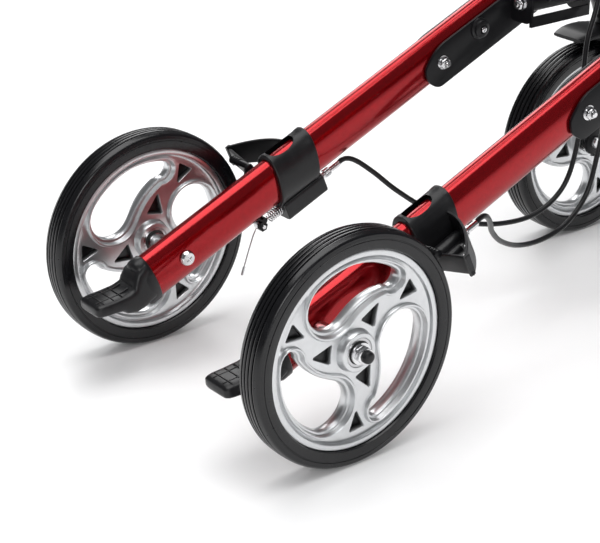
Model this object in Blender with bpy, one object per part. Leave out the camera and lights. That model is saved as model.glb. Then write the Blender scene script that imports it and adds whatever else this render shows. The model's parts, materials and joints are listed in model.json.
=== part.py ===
"""Side-folding four-wheeled walking frame, modelled folded, in metres.

+Z is up, -Y is the walking direction and +X is the user's left. The origin lies on the floor
under the middle of the folded frame. Every left-hand piece is modelled once and its right-hand
twin is the mirror image. The side frames hang on a scissor of two crossed tubes that pivot on a
bracket under each side frame, cross on one bolt, and carry the seat rails on their upper ends.
"""
import math

import bmesh
import bpy
from mathutils import Matrix, Vector

# Driving dimensions: overall
WHEEL_RADIUS = 0.1016
FOLDED_TRACK = 0.2885
OPEN_TRACK = 0.571
WHEELBASE = 0.508
WHEEL_SIDES = 30
AXLE_HEIGHT = WHEEL_RADIUS * math.cos(math.pi / WHEEL_SIDES)
AXLE_Y = WHEELBASE / 2
OPEN_SPREAD = OPEN_TRACK - FOLDED_TRACK

# Gaps
TOUCH = 0.0003
RUNNING = 0.0005

# Wheels
REAR_TYRE_WIDTH = 0.026
FRONT_TYRE_WIDTH = 0.030
RIM_RADIUS = 0.0848
RIM_INNER = 0.0765
RIM_WIDTH = 0.022
WEB_THICKNESS = 0.010
HUB_RADIUS = 0.0165
HUB_WIDTH = 0.028
AXLE_RADIUS = 0.004
OPENING_OUTER = 0.0715
OPENING_INNER = 0.0305
OPENING_SWEEP = math.radians(76)
COMMA_CURVE = 2.3
OPENING_ANGLE = math.radians(146)
RIGHT_WHEEL_TURN = math.radians(-24)
TYRE_CROWN = 0.0035

# Side frame tubes
TUBE_WIDTH = 0.025
LEG_DEPTH = 0.045
UPRIGHT_DEPTH = 0.042
TUBE_WALL = 0.0015
LEG_PITCH = math.radians(23.2)
LEG_TAIL = 0.034
WHEEL_OFFSET = 0.05025
FRAME_X = FOLDED_TRACK / 2 - WHEEL_OFFSET
FRAME_INNER = FRAME_X - TUBE_WIDTH / 2
FRAME_OUTER = FRAME_X + TUBE_WIDTH / 2

# Caster and upright
CASTER_TRAIL = 0.035
STEM_FORWARD = WHEELBASE + CASTER_TRAIL
STEM_RADIUS = 0.008
CROWN_CLEARANCE = 0.010
CROWN_THICKNESS = 0.012
BLADE_THICKNESS = 0.004
BLADE_GAP = 0.004
HEAD_RADIUS = 0.018
HEAD_HEIGHT = 0.036
UPRIGHT_LEAN = math.radians(22)
UPRIGHT_LENGTH = 0.475
UPRIGHT_START = 0.048

# Joining plates and the pivot bracket
PLATE_THICKNESS = 0.003
PLATE_REAR = 0.308
BRACKET_FORWARD = 0.383
BRACKET_REACH = 0.031
BRACKET_HEIGHT = 0.020

# Scissor, seat rails and seat
PIVOT_INSET = 0.030
PIVOT_HEIGHT = 0.272
BRACE_LENGTH = 0.470
BRACE_RADIUS = 0.0105
BRACE_SPACING = 0.029
PIVOT_TUBE_LENGTH = 0.074
BOLT_RADIUS = 0.004
BOLT_HEAD_RADIUS = 0.0075
BOLT_HEAD_HEIGHT = 0.005
RAIL_REAR = 0.145
RAIL_FRONT = 0.475
RAIL_WALL = 0.002
SEAT_REAR = 0.150
SEAT_FRONT = 0.390
SEAT_REACH = 0.187
SEAT_THICKNESS = 0.016
CRADLE_LENGTH = 0.010

# Brake gear on the leg
SHOE_GAP = 0.0025
SHOE_RADIUS = 0.0045
SLEEVE_REAR = WHEEL_RADIUS + SHOE_GAP + SHOE_RADIUS + 0.0024
SLEEVE_LENGTH = 0.047
SLEEVE_FRONT = SLEEVE_REAR + SLEEVE_LENGTH
SLEEVE_WALL = 0.004
CHANNEL_DROP = LEG_DEPTH / 2 + 0.0085
CHANNEL_RADIUS = 0.0075
ADJUSTER_RADIUS = 0.004
ADJUSTER_LENGTH = 0.018
SPRING_RADIUS = 0.0042
SPRING_LENGTH = 0.019
BRAKE_PIVOT_ALONG = 0.088
BRAKE_PIVOT_DROP = LEG_DEPTH / 2 + 0.004
CABLE_RADIUS = 0.0025

# Handles
HANDLE_RADIUS = 0.0105
HANDLE_OVERLAP = 0.20
HANDLE_RISE = 0.115
HANDLE_BEND = 0.055
HANDLE_REACH = 0.205
HANDLE_SLOPE = math.radians(8)
GRIP_LENGTH = 0.118
GRIP_RADIUS = 0.0165
HOUSING_LENGTH = 0.030
COLLAR_LENGTH = 0.040
COLLAR_WALL = 0.004
BUTTON_RADIUS = 0.0065
BUTTON_TRAVEL = 0.003

# Places that follow from the sizes above
PIVOT_X = FRAME_X - PIVOT_INSET
FOLDED_ANGLE = math.acos(2 * PIVOT_X / BRACE_LENGTH)
OPEN_ANGLE = math.acos((2 * PIVOT_X + OPEN_SPREAD) / BRACE_LENGTH)
RAIL_HEIGHT = PIVOT_HEIGHT + BRACE_LENGTH * math.sin(FOLDED_ANGLE)
OPEN_RAIL_HEIGHT = PIVOT_HEIGHT + BRACE_LENGTH * math.sin(OPEN_ANGLE)
REAR_BRACE_FORWARD = BRACKET_FORWARD + PLATE_THICKNESS + TOUCH + PIVOT_TUBE_LENGTH / 2 - BRACE_SPACING / 2
FRONT_BRACE_FORWARD = REAR_BRACE_FORWARD + BRACE_SPACING
CROWN_TOP = AXLE_HEIGHT + WHEEL_RADIUS + CROWN_CLEARANCE + CROWN_THICKNESS
HEAD_BASE = CROWN_TOP + 2 * TOUCH
WHEEL_X = FOLDED_TRACK / 2

X_AXIS = Vector((1, 0, 0))
LEG_AXIS = Vector((0, -math.cos(LEG_PITCH), math.sin(LEG_PITCH)))
LEG_UP = Vector((0, math.sin(LEG_PITCH), math.cos(LEG_PITCH)))
UPRIGHT_AXIS = Vector((0, math.sin(UPRIGHT_LEAN), math.cos(UPRIGHT_LEAN)))
UPRIGHT_BACK = Vector((0, math.cos(UPRIGHT_LEAN), -math.sin(UPRIGHT_LEAN)))


def place(x, forward, height):
    """A point from its side distance, its distance ahead of the rear axle and its height."""
    return Vector((x, AXLE_Y - forward, height))


REAR_HUB = place(WHEEL_X, 0, AXLE_HEIGHT)
FRONT_HUB = place(FRAME_X, WHEELBASE, AXLE_HEIGHT)
LEG_ORIGIN = place(FRAME_X, 0, AXLE_HEIGHT)
UPRIGHT_ORIGIN = place(FRAME_X, STEM_FORWARD, HEAD_BASE)


def on_leg(along, above=0.0, x=FRAME_X):
    """A point in the leg's own frame: along the tube from the axle, and square above it."""
    return LEG_ORIGIN + LEG_AXIS * along + LEG_UP * above + X_AXIS * (x - FRAME_X)


def on_upright(along, back=0.0, x=FRAME_X):
    return UPRIGHT_ORIGIN + UPRIGHT_AXIS * along + UPRIGHT_BACK * back + X_AXIS * (x - FRAME_X)


def leg_meets_upright():
    """How far along the leg its centre line crosses the upright's centre line."""
    gap = UPRIGHT_ORIGIN - LEG_ORIGIN
    return gap.dot(UPRIGHT_BACK) / LEG_AXIS.dot(UPRIGHT_BACK)


MEETING = leg_meets_upright()
LEG_FRONT = MEETING - UPRIGHT_DEPTH / 2 - 0.002
LEG_LINE = Matrix.Translation(LEG_ORIGIN) @ Matrix((X_AXIS, LEG_UP, -LEG_AXIS)).transposed().to_4x4()
UPRIGHT_LINE = Matrix.Translation(UPRIGHT_ORIGIN) @ Matrix(
    (X_AXIS, UPRIGHT_BACK, -UPRIGHT_AXIS)).transposed().to_4x4()


# Materials
def material(name, colour, roughness, metallic):
    made = bpy.data.materials.new(name)
    made.use_nodes = True
    shader = made.node_tree.nodes["Principled BSDF"]
    shader.inputs["Base Color"].default_value = (*colour, 1.0)
    shader.inputs["Roughness"].default_value = roughness
    shader.inputs["Metallic"].default_value = metallic
    return made


for old in list(bpy.data.objects):
    bpy.data.objects.remove(old)

RED = material("red_lacquer", (0.42, 0.006, 0.010), 0.22, 0.75)
SILVER = material("silver_casting", (0.62, 0.63, 0.64), 0.35, 0.9)
CHROME = material("chrome", (0.80, 0.80, 0.80), 0.12, 1.0)
RUBBER = material("tyre_rubber", (0.018, 0.018, 0.019), 0.62, 0.0)
PLASTIC = material("black_plastic", (0.022, 0.022, 0.024), 0.45, 0.0)
STEEL = material("black_steel", (0.020, 0.020, 0.022), 0.35, 0.3)
WEBBING = material("seat_cover", (0.020, 0.020, 0.022), 0.85, 0.0)


# Modelling helpers
def finish(name, mesh_data, paint, origin=Vector((0, 0, 0)), smooth_angle=35):
    """Make an object whose origin lies at the given point, shaded smooth where it is round."""
    bmesh.ops.recalc_face_normals(mesh_data, faces=mesh_data.faces)
    bmesh.ops.translate(mesh_data, verts=mesh_data.verts, vec=-origin)
    mesh = bpy.data.meshes.new(name)
    mesh_data.to_mesh(mesh)
    mesh_data.free()
    mesh.shade_smooth()
    mesh.set_sharp_from_angle(angle=math.radians(smooth_angle))
    made = bpy.data.objects.new(name, mesh)
    made.location = origin
    bpy.context.scene.collection.objects.link(made)
    made.data.materials.append(paint)
    return made


def oval_bar(half_x, half_y, start, end, line, sides=24):
    """A solid oval bar that runs from start to end along the line's -Z."""
    bar = bmesh.new()
    bmesh.ops.create_cone(bar, cap_ends=True, cap_tris=False, segments=sides,
                          radius1=1, radius2=1, depth=end - start)
    bmesh.ops.scale(bar, vec=(half_x, half_y, 1), verts=bar.verts)
    bmesh.ops.translate(bar, vec=(0, 0, -(start + end) / 2), verts=bar.verts)
    bmesh.ops.transform(bar, matrix=line, verts=bar.verts)
    return bar


def oval_tube(half_x, half_y, wall, start, end, line, sides=24):
    """An open oval tube: two rings bridged into an annulus, then drawn out to its length."""
    tube = bmesh.new()
    for shrink in (0, wall):
        ring = bmesh.ops.create_circle(tube, cap_ends=False, segments=sides, radius=1)["verts"]
        bmesh.ops.scale(tube, vec=(half_x - shrink, half_y - shrink, 1), verts=ring)
    bmesh.ops.bridge_loops(tube, edges=tube.edges)
    drawn = bmesh.ops.extrude_face_region(tube, geom=tube.faces[:])["geom"]
    ends = [item for item in drawn if isinstance(item, bmesh.types.BMVert)]
    bmesh.ops.translate(tube, vec=(0, 0, -(end - start)), verts=ends)
    bmesh.ops.translate(tube, vec=(0, 0, -start), verts=tube.verts)
    bmesh.ops.transform(tube, matrix=line, verts=tube.verts)
    return tube


def slab(outline, low, high, turn=None):
    """A flat outline in local X and Y drawn out from low to high in local Z."""
    body = bmesh.new()
    face = body.faces.new([body.verts.new((x, y, low)) for x, y in outline])
    drawn = bmesh.ops.extrude_face_region(body, geom=[face])["geom"]
    moved = [item for item in drawn if isinstance(item, bmesh.types.BMVert)]
    bmesh.ops.translate(body, vec=(0, 0, high - low), verts=moved)
    if turn is not None:
        bmesh.ops.transform(body, matrix=turn, verts=body.verts)
    return body


def side_slab(points, x_low, x_high):
    """A slab lying in a side view: world points drawn out from x_low to x_high."""
    body = bmesh.new()
    face = body.faces.new([body.verts.new((x_low, point.y, point.z)) for point in points])
    drawn = bmesh.ops.extrude_face_region(body, geom=[face])["geom"]
    moved = [item for item in drawn if isinstance(item, bmesh.types.BMVert)]
    bmesh.ops.translate(body, vec=(x_high - x_low, 0, 0), verts=moved)
    return body


def block(low, high):
    """A box between two corners."""
    body = bmesh.new()
    bmesh.ops.create_cube(body, size=1)
    bmesh.ops.scale(body, vec=high - low, verts=body.verts)
    bmesh.ops.translate(body, vec=(high + low) / 2, verts=body.verts)
    for vert in body.verts:
        vert.co = Vector(vert.co)
    return body


def corners(x_low, x_high, forward_low, forward_high, z_low, z_high):
    return (Vector((x_low, AXLE_Y - forward_high, z_low)),
            Vector((x_high, AXLE_Y - forward_low, z_high)))


def rod(start, end, radius, sides=16):
    """A round solid rod between two points."""
    body = bmesh.new()
    bmesh.ops.create_cone(body, cap_ends=True, cap_tris=False, segments=sides,
                          radius1=radius, radius2=radius, depth=(end - start).length)
    turn = (end - start).to_track_quat("Z", "X").to_matrix().to_4x4()
    bmesh.ops.transform(body, matrix=Matrix.Translation((start + end) / 2) @ turn, verts=body.verts)
    return body


def turned(profile, axis_point, axis, sides, closed, phase=0.0):
    """A turned piece: (radius, distance along the axis) points spun about the axis."""
    body = bmesh.new()
    axis = axis.normalized()
    out = axis.orthogonal().normalized()
    if abs(axis.x) > 0.99:
        out = Vector((0, 0, -1))
    out = Matrix.Rotation(phase, 3, axis) @ out
    verts = [body.verts.new(axis_point + out * radius + axis * along) for radius, along in profile]
    edges = [body.edges.new(pair) for pair in zip(verts, verts[1:])]
    if closed:
        edges.append(body.edges.new((verts[-1], verts[0])))
    bmesh.ops.spin(body, geom=verts + edges, cent=axis_point, axis=axis, angle=2 * math.pi,
                   steps=sides, use_merge=True)
    bmesh.ops.remove_doubles(body, verts=body.verts, dist=0.00001)
    return body


def bent_tube(name, points, radius, paint, resolution=2, origin=Vector((0, 0, 0))):
    """A round solid bar along a smooth route, made as a curve with filled ends."""
    curve = bpy.data.curves.new(name, "CURVE")
    curve.dimensions = "3D"
    curve.bevel_depth = radius
    curve.bevel_resolution = resolution
    curve.use_fill_caps = True
    line = curve.splines.new("POLY")
    line.points.add(len(points) - 1)
    for spot, point in zip(line.points, points):
        spot.co = (*(point - origin), 1)
    made = bpy.data.objects.new(name, curve)
    made.location = origin
    bpy.context.scene.collection.objects.link(made)
    curve.materials.append(paint)
    return made


def smooth_route(points, step):
    """Evenly spaced points on a smooth curve through the given ones."""
    ends = [points[0] * 2 - points[1]] + list(points) + [points[-1] * 2 - points[-2]]
    fine = []
    for before, start, end, after in zip(ends, ends[1:], ends[2:], ends[3:]):
        for part in range(20):
            t = part / 20
            fine.append(0.5 * (2 * start + (end - before) * t
                               + (2 * before - 5 * start + 4 * end - after) * t ** 2
                               + (3 * start - before - 3 * end + after) * t ** 3))
    fine.append(points[-1])
    total = sum((b - a).length for a, b in zip(fine, fine[1:]))
    count = max(2, round(total / step))
    route = [fine[0]]
    walked = 0.0
    for a, b in zip(fine, fine[1:]):
        length = (b - a).length
        while length > 0 and len(route) < count and walked + length >= len(route) * total / count:
            route.append(a.lerp(b, (len(route) * total / count - walked) / length))
        walked += length
    route.append(points[-1])
    return route


def combine(base, tool_data, operation):
    """Join or cut an object with a hidden tool body, as a Boolean modifier."""
    tool = finish(base.name + "_tool", tool_data, PLASTIC)
    tool.hide_render = True
    tool.display_type = "WIRE"
    step = base.modifiers.new(operation.lower(), "BOOLEAN")
    step.operation = operation
    step.solver = "EXACT"
    step.object = tool
    return base


def join(base, tool_data):
    return combine(base, tool_data, "UNION")


def cut(base, tool_data):
    return combine(base, tool_data, "DIFFERENCE")


def arc(centre, radius, start, end, steps):
    """Points on a circular arc in a plane, both ends included."""
    return [(centre[0] + radius * math.cos(start + (end - start) * i / steps),
             centre[1] + radius * math.sin(start + (end - start) * i / steps))
            for i in range(steps + 1)]


# Wheels
def comma_outline(turn):
    """One comma-shaped opening of a wheel: a round head, a rim-side arc and a swept inner edge."""
    middle = (OPENING_OUTER + OPENING_INNER) / 2
    head = (OPENING_OUTER - OPENING_INNER) / 2
    points = []
    steps = 7
    for i in range(steps + 1):
        part = i / steps
        radius = OPENING_INNER + (OPENING_OUTER - 0.002 - OPENING_INNER) * part ** COMMA_CURVE
        points.append((radius, turn - OPENING_SWEEP * part))
    for i in range(steps + 1):
        points.append((OPENING_OUTER, turn - OPENING_SWEEP * (1 - i / steps)))
    outline = [(radius * math.cos(angle), radius * math.sin(angle)) for radius, angle in points]
    centre = (middle * math.cos(turn), middle * math.sin(turn))
    outline += arc(centre, head, turn, turn + math.pi, 8)[1:-1]
    return outline


def wheel(prefix, hub, tyre_width):
    """A cast wheel with three comma openings, and its solid tyre."""
    half = RIM_WIDTH / 2
    web = WEB_THICKNESS / 2
    hub_half = HUB_WIDTH / 2
    bore = AXLE_RADIUS + RUNNING
    profile = [(bore, -hub_half), (HUB_RADIUS, -hub_half), (HUB_RADIUS, -web), (RIM_INNER, -web),
               (RIM_INNER + 0.002, -half), (RIM_RADIUS, -half), (RIM_RADIUS, half),
               (RIM_INNER + 0.002, half), (RIM_INNER, web), (HUB_RADIUS, web),
               (HUB_RADIUS, hub_half), (bore, hub_half)]
    flat = math.pi / WHEEL_SIDES
    rim = finish(prefix + "_rim", turned(profile, hub, X_AXIS, WHEEL_SIDES, True, flat), SILVER, hub)
    turn = Matrix.Translation(hub) @ Matrix(((0, 0, 1), (-1, 0, 0), (0, 1, 0))).to_4x4()
    for third in range(3):
        outline = comma_outline(OPENING_ANGLE + third * 2 * math.pi / 3)
        cut(rim, slab(outline, -WEB_THICKNESS, WEB_THICKNESS, turn))
    edge = tyre_width / 2
    seat = RIM_RADIUS + TOUCH
    shoulder = WHEEL_RADIUS - TYRE_CROWN
    tread = [(seat, -edge), (shoulder, -edge), (WHEEL_RADIUS, -edge * 0.62),
             (WHEEL_RADIUS, edge * 0.62), (shoulder, edge), (seat, edge)]
    finish(prefix + "_tyre", turned(tread, hub, X_AXIS, WHEEL_SIDES, True, flat), RUBBER, hub)


def rear_wheel_and_axle():
    wheel("left_rear", REAR_HUB, REAR_TYRE_WIDTH)
    inner = FRAME_INNER - TOUCH - WHEEL_X
    outer = FRAME_OUTER + TOUCH - WHEEL_X
    hub_half = HUB_WIDTH / 2
    profile = [(0, inner - 0.004), (0.0055, inner - 0.004), (0.0072, inner - 0.0015),
               (0.0072, inner), (AXLE_RADIUS, inner), (AXLE_RADIUS, outer), (0.0085, outer),
               (0.0085, -hub_half - TOUCH), (AXLE_RADIUS, -hub_half - TOUCH),
               (AXLE_RADIUS, hub_half + TOUCH), (0.0078, hub_half + TOUCH),
               (0.0078, hub_half + 0.0050), (0.0045, hub_half + 0.0055), (0.0040, hub_half + 0.012),
               (0, hub_half + 0.0125)]
    bolt = turned(profile, REAR_HUB, X_AXIS, 16, False)
    finish("left_rear_axle", bolt, CHROME, REAR_HUB)


def fork():
    """The caster fork with its blades, crown and stem, and the front axle."""
    wheel("left_front", FRONT_HUB, FRONT_TYRE_WIDTH)
    stem_foot = place(FRAME_X, STEM_FORWARD, CROWN_TOP - CROWN_THICKNESS)
    inside = FRONT_TYRE_WIDTH / 2 + BLADE_GAP
    crown = CROWN_TOP - CROWN_THICKNESS
    low, high = corners(FRAME_X - inside - BLADE_THICKNESS, FRAME_X + inside + BLADE_THICKNESS,
                        STEM_FORWARD - 0.022, STEM_FORWARD + 0.020, crown, CROWN_TOP)
    body = finish("left_fork", block(low, high), STEEL, stem_foot)
    tip = arc((WHEELBASE, AXLE_HEIGHT), 0.013, math.radians(150), math.radians(360), 7)
    outline = tip + [(STEM_FORWARD + 0.0199, crown + 0.004), (STEM_FORWARD - 0.0219, crown + 0.004)]
    for side in (-1, 1):
        near = FRAME_X + side * inside
        far = FRAME_X + side * (inside + BLADE_THICKNESS - 0.0001)
        points = [place(0, forward, height) for forward, height in outline]
        join(body, side_slab(points, min(near, far), max(near, far)))
    top = Vector((FRAME_X, stem_foot.y, HEAD_BASE + HEAD_HEIGHT - 0.006))
    join(body, rod(Vector((FRAME_X, stem_foot.y, crown + 0.004)), top, STEM_RADIUS))
    cut(body, rod(FRONT_HUB - X_AXIS * 0.05, FRONT_HUB + X_AXIS * 0.05, AXLE_RADIUS + TOUCH, 12))
    face = inside + BLADE_THICKNESS + TOUCH
    hub_half = HUB_WIDTH / 2 + TOUCH
    spacer = inside - TOUCH
    profile = [(0, -face - 0.005), (0.0065, -face - 0.005), (0.0065, -face), (AXLE_RADIUS, -face),
               (AXLE_RADIUS, -spacer), (0.0070, -spacer), (0.0070, -hub_half),
               (AXLE_RADIUS, -hub_half), (AXLE_RADIUS, hub_half), (0.0070, hub_half),
               (0.0070, spacer), (AXLE_RADIUS, spacer), (AXLE_RADIUS, face), (0.0065, face),
               (0.0065, face + 0.006), (0, face + 0.006)]
    finish("left_front_axle", turned(profile, FRONT_HUB, X_AXIS, 14, False), CHROME, FRONT_HUB)


# Side frame
def leg():
    """The oval lower tube from the rear axle to the upright, drilled for the axle."""
    tube = oval_tube(TUBE_WIDTH / 2, LEG_DEPTH / 2, TUBE_WALL, -LEG_TAIL, LEG_FRONT, LEG_LINE)
    body = finish("left_leg", tube, RED)
    hole = rod(LEG_ORIGIN - X_AXIS * 0.02, LEG_ORIGIN + X_AXIS * 0.02, AXLE_RADIUS + TOUCH, 12)
    cut(body, hole)


def tip_lever():
    """The moulded plug in the leg's rear end, with the foot lever for tipping over kerbs."""
    half_x = TUBE_WIDTH / 2 - TUBE_WALL - TOUCH
    half_y = LEG_DEPTH / 2 - TUBE_WALL - TOUCH
    plug = oval_bar(half_x, half_y, -LEG_TAIL - 0.004, -LEG_TAIL + 0.018, LEG_LINE, 20)
    body = finish("left_tip_lever", plug, PLASTIC)
    cap = oval_bar(TUBE_WIDTH / 2 + 0.0012, LEG_DEPTH / 2 + 0.0012,
                   -LEG_TAIL - 0.013, -LEG_TAIL - TOUCH, LEG_LINE, 20)
    join(body, cap)
    tail = LEG_TAIL + 0.006
    side = [(-tail, 0.0190), (-tail - 0.010, 0.0175), (-tail - 0.020, 0.0105),
            (-tail - 0.032, 0.0110), (-tail - 0.050, 0.0200), (-tail - 0.054, 0.0175),
            (-tail - 0.053, 0.0100), (-tail - 0.036, -0.0010), (-tail - 0.018, -0.0055),
            (-tail, -0.0180)]
    points = [on_leg(along, above) for along, above in side]
    join(body, side_slab(points, FRAME_X - 0.0128, FRAME_X + 0.0128))


def plate_outline():
    """The joining plate's side view in the leg's frame, along and above."""
    lower = -LEG_DEPTH / 2 - 0.0075
    front = MEETING + UPRIGHT_DEPTH / 2
    rear_round = arc((PLATE_REAR + 0.022, lower + 0.014), 0.014, math.radians(270), math.radians(180), 4)
    upper_round = arc((PLATE_REAR + 0.034, -0.012), 0.026, math.radians(180), math.radians(90), 4)
    points = [(x - 0.008, y) for x, y in rear_round] + [(x - 0.0, y) for x, y in upper_round[1:]]
    points += [(front - 0.058, 0.014), (front - 0.042, 0.042), (front - 0.006, 0.044),
               (front + 0.001, 0.034), (front + 0.001, lower + 0.012), (front - 0.010, lower)]
    return points


def plates():
    """The two black plates that clamp the leg to the upright, the inner one with its bracket."""
    points = [on_leg(along, above) for along, above in plate_outline()]
    face = FRAME_OUTER + TOUCH
    finish("left_outer_plate", side_slab(points, face, face + PLATE_THICKNESS), STEEL)
    face = FRAME_INNER - TOUCH
    inner = finish("left_inner_plate", side_slab(points, face - PLATE_THICKNESS, face), STEEL)
    reach = face - PLATE_THICKNESS - BRACKET_REACH
    first = BRACKET_FORWARD
    second = first + 2 * PLATE_THICKNESS + PIVOT_TUBE_LENGTH + 2 * TOUCH
    base = PIVOT_HEIGHT - BRACKET_HEIGHT
    for start in (first, second - PLATE_THICKNESS):
        low, high = corners(reach, face - 0.001, start, start + PLATE_THICKNESS,
                            base, PIVOT_HEIGHT + BRACKET_HEIGHT * 0.6)
        join(inner, block(low, high))
    low, high = corners(reach + 0.00005, reach + PLATE_THICKNESS, first + 0.0005, second - 0.0005,
                        base - 0.014, base + 0.0015)
    join(inner, block(low, high))
    hole = rod(place(PIVOT_X, first - 0.01, PIVOT_HEIGHT), place(PIVOT_X, second + 0.01, PIVOT_HEIGHT),
               BOLT_RADIUS + TOUCH, 12)
    cut(inner, hole)
    pivot_bolt(first - TOUCH, second + TOUCH)


def pivot_bolt(rear, front):
    """The bolt that the scissor turns on under this side, with its head and nut."""
    centre = place(PIVOT_X, rear, PIVOT_HEIGHT)
    length = front - rear
    profile = [(0, -BOLT_HEAD_HEIGHT - 0.002), (BOLT_RADIUS, -BOLT_HEAD_HEIGHT - 0.002),
               (BOLT_RADIUS, -BOLT_HEAD_HEIGHT), (BOLT_HEAD_RADIUS, -BOLT_HEAD_HEIGHT),
               (BOLT_HEAD_RADIUS, 0), (BOLT_RADIUS, 0), (BOLT_RADIUS, length),
               (BOLT_HEAD_RADIUS, length), (BOLT_HEAD_RADIUS, length + BOLT_HEAD_HEIGHT),
               (0, length + BOLT_HEAD_HEIGHT)]
    finish("left_pivot_bolt", turned(profile, centre, Vector((0, -1, 0)), 12, False), CHROME, centre)


def upright():
    """The oval upright, the moulded head under it and the collar with its button on top."""
    top = UPRIGHT_START + UPRIGHT_LENGTH
    half_x = TUBE_WIDTH / 2
    half_y = UPRIGHT_DEPTH / 2
    finish("left_upright", oval_tube(half_x, half_y, TUBE_WALL, UPRIGHT_START, top, UPRIGHT_LINE), RED)
    stem = place(FRAME_X, STEM_FORWARD, 0)
    head = turned([(STEM_RADIUS + RUNNING, HEAD_BASE), (HEAD_RADIUS, HEAD_BASE),
                   (HEAD_RADIUS, HEAD_BASE + HEAD_HEIGHT - 0.002),
                   (STEM_RADIUS + RUNNING, HEAD_BASE + HEAD_HEIGHT - 0.002)],
                  stem, Vector((0, 0, 1)), 20, True)
    body = finish("left_stem_head", head, PLASTIC)
    lid = rod(Vector((FRAME_X, stem.y, HEAD_BASE + HEAD_HEIGHT - 0.004)),
              Vector((FRAME_X, stem.y, HEAD_BASE + HEAD_HEIGHT)), HEAD_RADIUS - 0.0001, 20)
    join(body, lid)
    plug = oval_bar(half_x - TUBE_WALL - TOUCH, half_y - TUBE_WALL - TOUCH,
                    HEAD_HEIGHT - 0.002, UPRIGHT_START + 0.035, UPRIGHT_LINE, 20)
    join(body, plug)

    wide = half_x + TOUCH + COLLAR_WALL
    deep = half_y + TOUCH + COLLAR_WALL
    lip = 0.006
    sleeve = finish("left_collar", oval_bar(wide, deep, top - COLLAR_LENGTH, top + lip, UPRIGHT_LINE),
                    PLASTIC)
    cut(sleeve, oval_bar(half_x + TOUCH, half_y + TOUCH, top - COLLAR_LENGTH - 0.01, top + TOUCH,
                         UPRIGHT_LINE))
    cut(sleeve, oval_bar(HANDLE_RADIUS + RUNNING, HANDLE_RADIUS + RUNNING, top - 0.01, top + 0.02,
                         UPRIGHT_LINE, 16))
    middle = on_upright(top - COLLAR_LENGTH / 2)
    bottom_x = half_x + TOUCH + 0.0015
    boss_end = wide + 0.004
    join(sleeve, rod(middle + X_AXIS * bottom_x, middle + X_AXIS * boss_end, BUTTON_RADIUS + 0.0035))
    floor = boss_end - 0.0005 - BUTTON_TRAVEL
    cut(sleeve, rod(middle + X_AXIS * (floor - TOUCH), middle + X_AXIS * (boss_end + 0.01),
                    BUTTON_RADIUS + RUNNING))
    start = middle + X_AXIS * (floor + BUTTON_TRAVEL)
    button = rod(start, middle + X_AXIS * (boss_end + BUTTON_TRAVEL), BUTTON_RADIUS)
    finish("left_height_button", button, SILVER, start)


def cradle():
    """The saddle on the upright that the seat rail drops into when the frame is open."""
    rail_bottom = OPEN_RAIL_HEIGHT - BRACE_RADIUS - 0.0006
    along = (rail_bottom - UPRIGHT_ORIGIN.z) / math.cos(UPRIGHT_LEAN)
    rear = STEM_FORWARD - along * math.sin(UPRIGHT_LEAN) + UPRIGHT_DEPTH / 2 - CRADLE_LENGTH
    rear = max(rear, FRONT_BRACE_FORWARD + BRACE_RADIUS + 0.002)
    wall = PIVOT_X + BRACE_RADIUS + 0.0010
    low, high = corners(PIVOT_X - BRACE_RADIUS, FRAME_INNER - TOUCH, rear, rear + CRADLE_LENGTH,
                        rail_bottom - 0.012, rail_bottom)
    body = finish("left_rail_cradle", block(low, high), PLASTIC)
    low, high = corners(wall, FRAME_INNER - TOUCH - 0.00005, rear + 0.00005, rear + CRADLE_LENGTH - 0.00005,
                        rail_bottom - 0.004, rail_bottom + 0.016)
    join(body, block(low, high))


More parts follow.
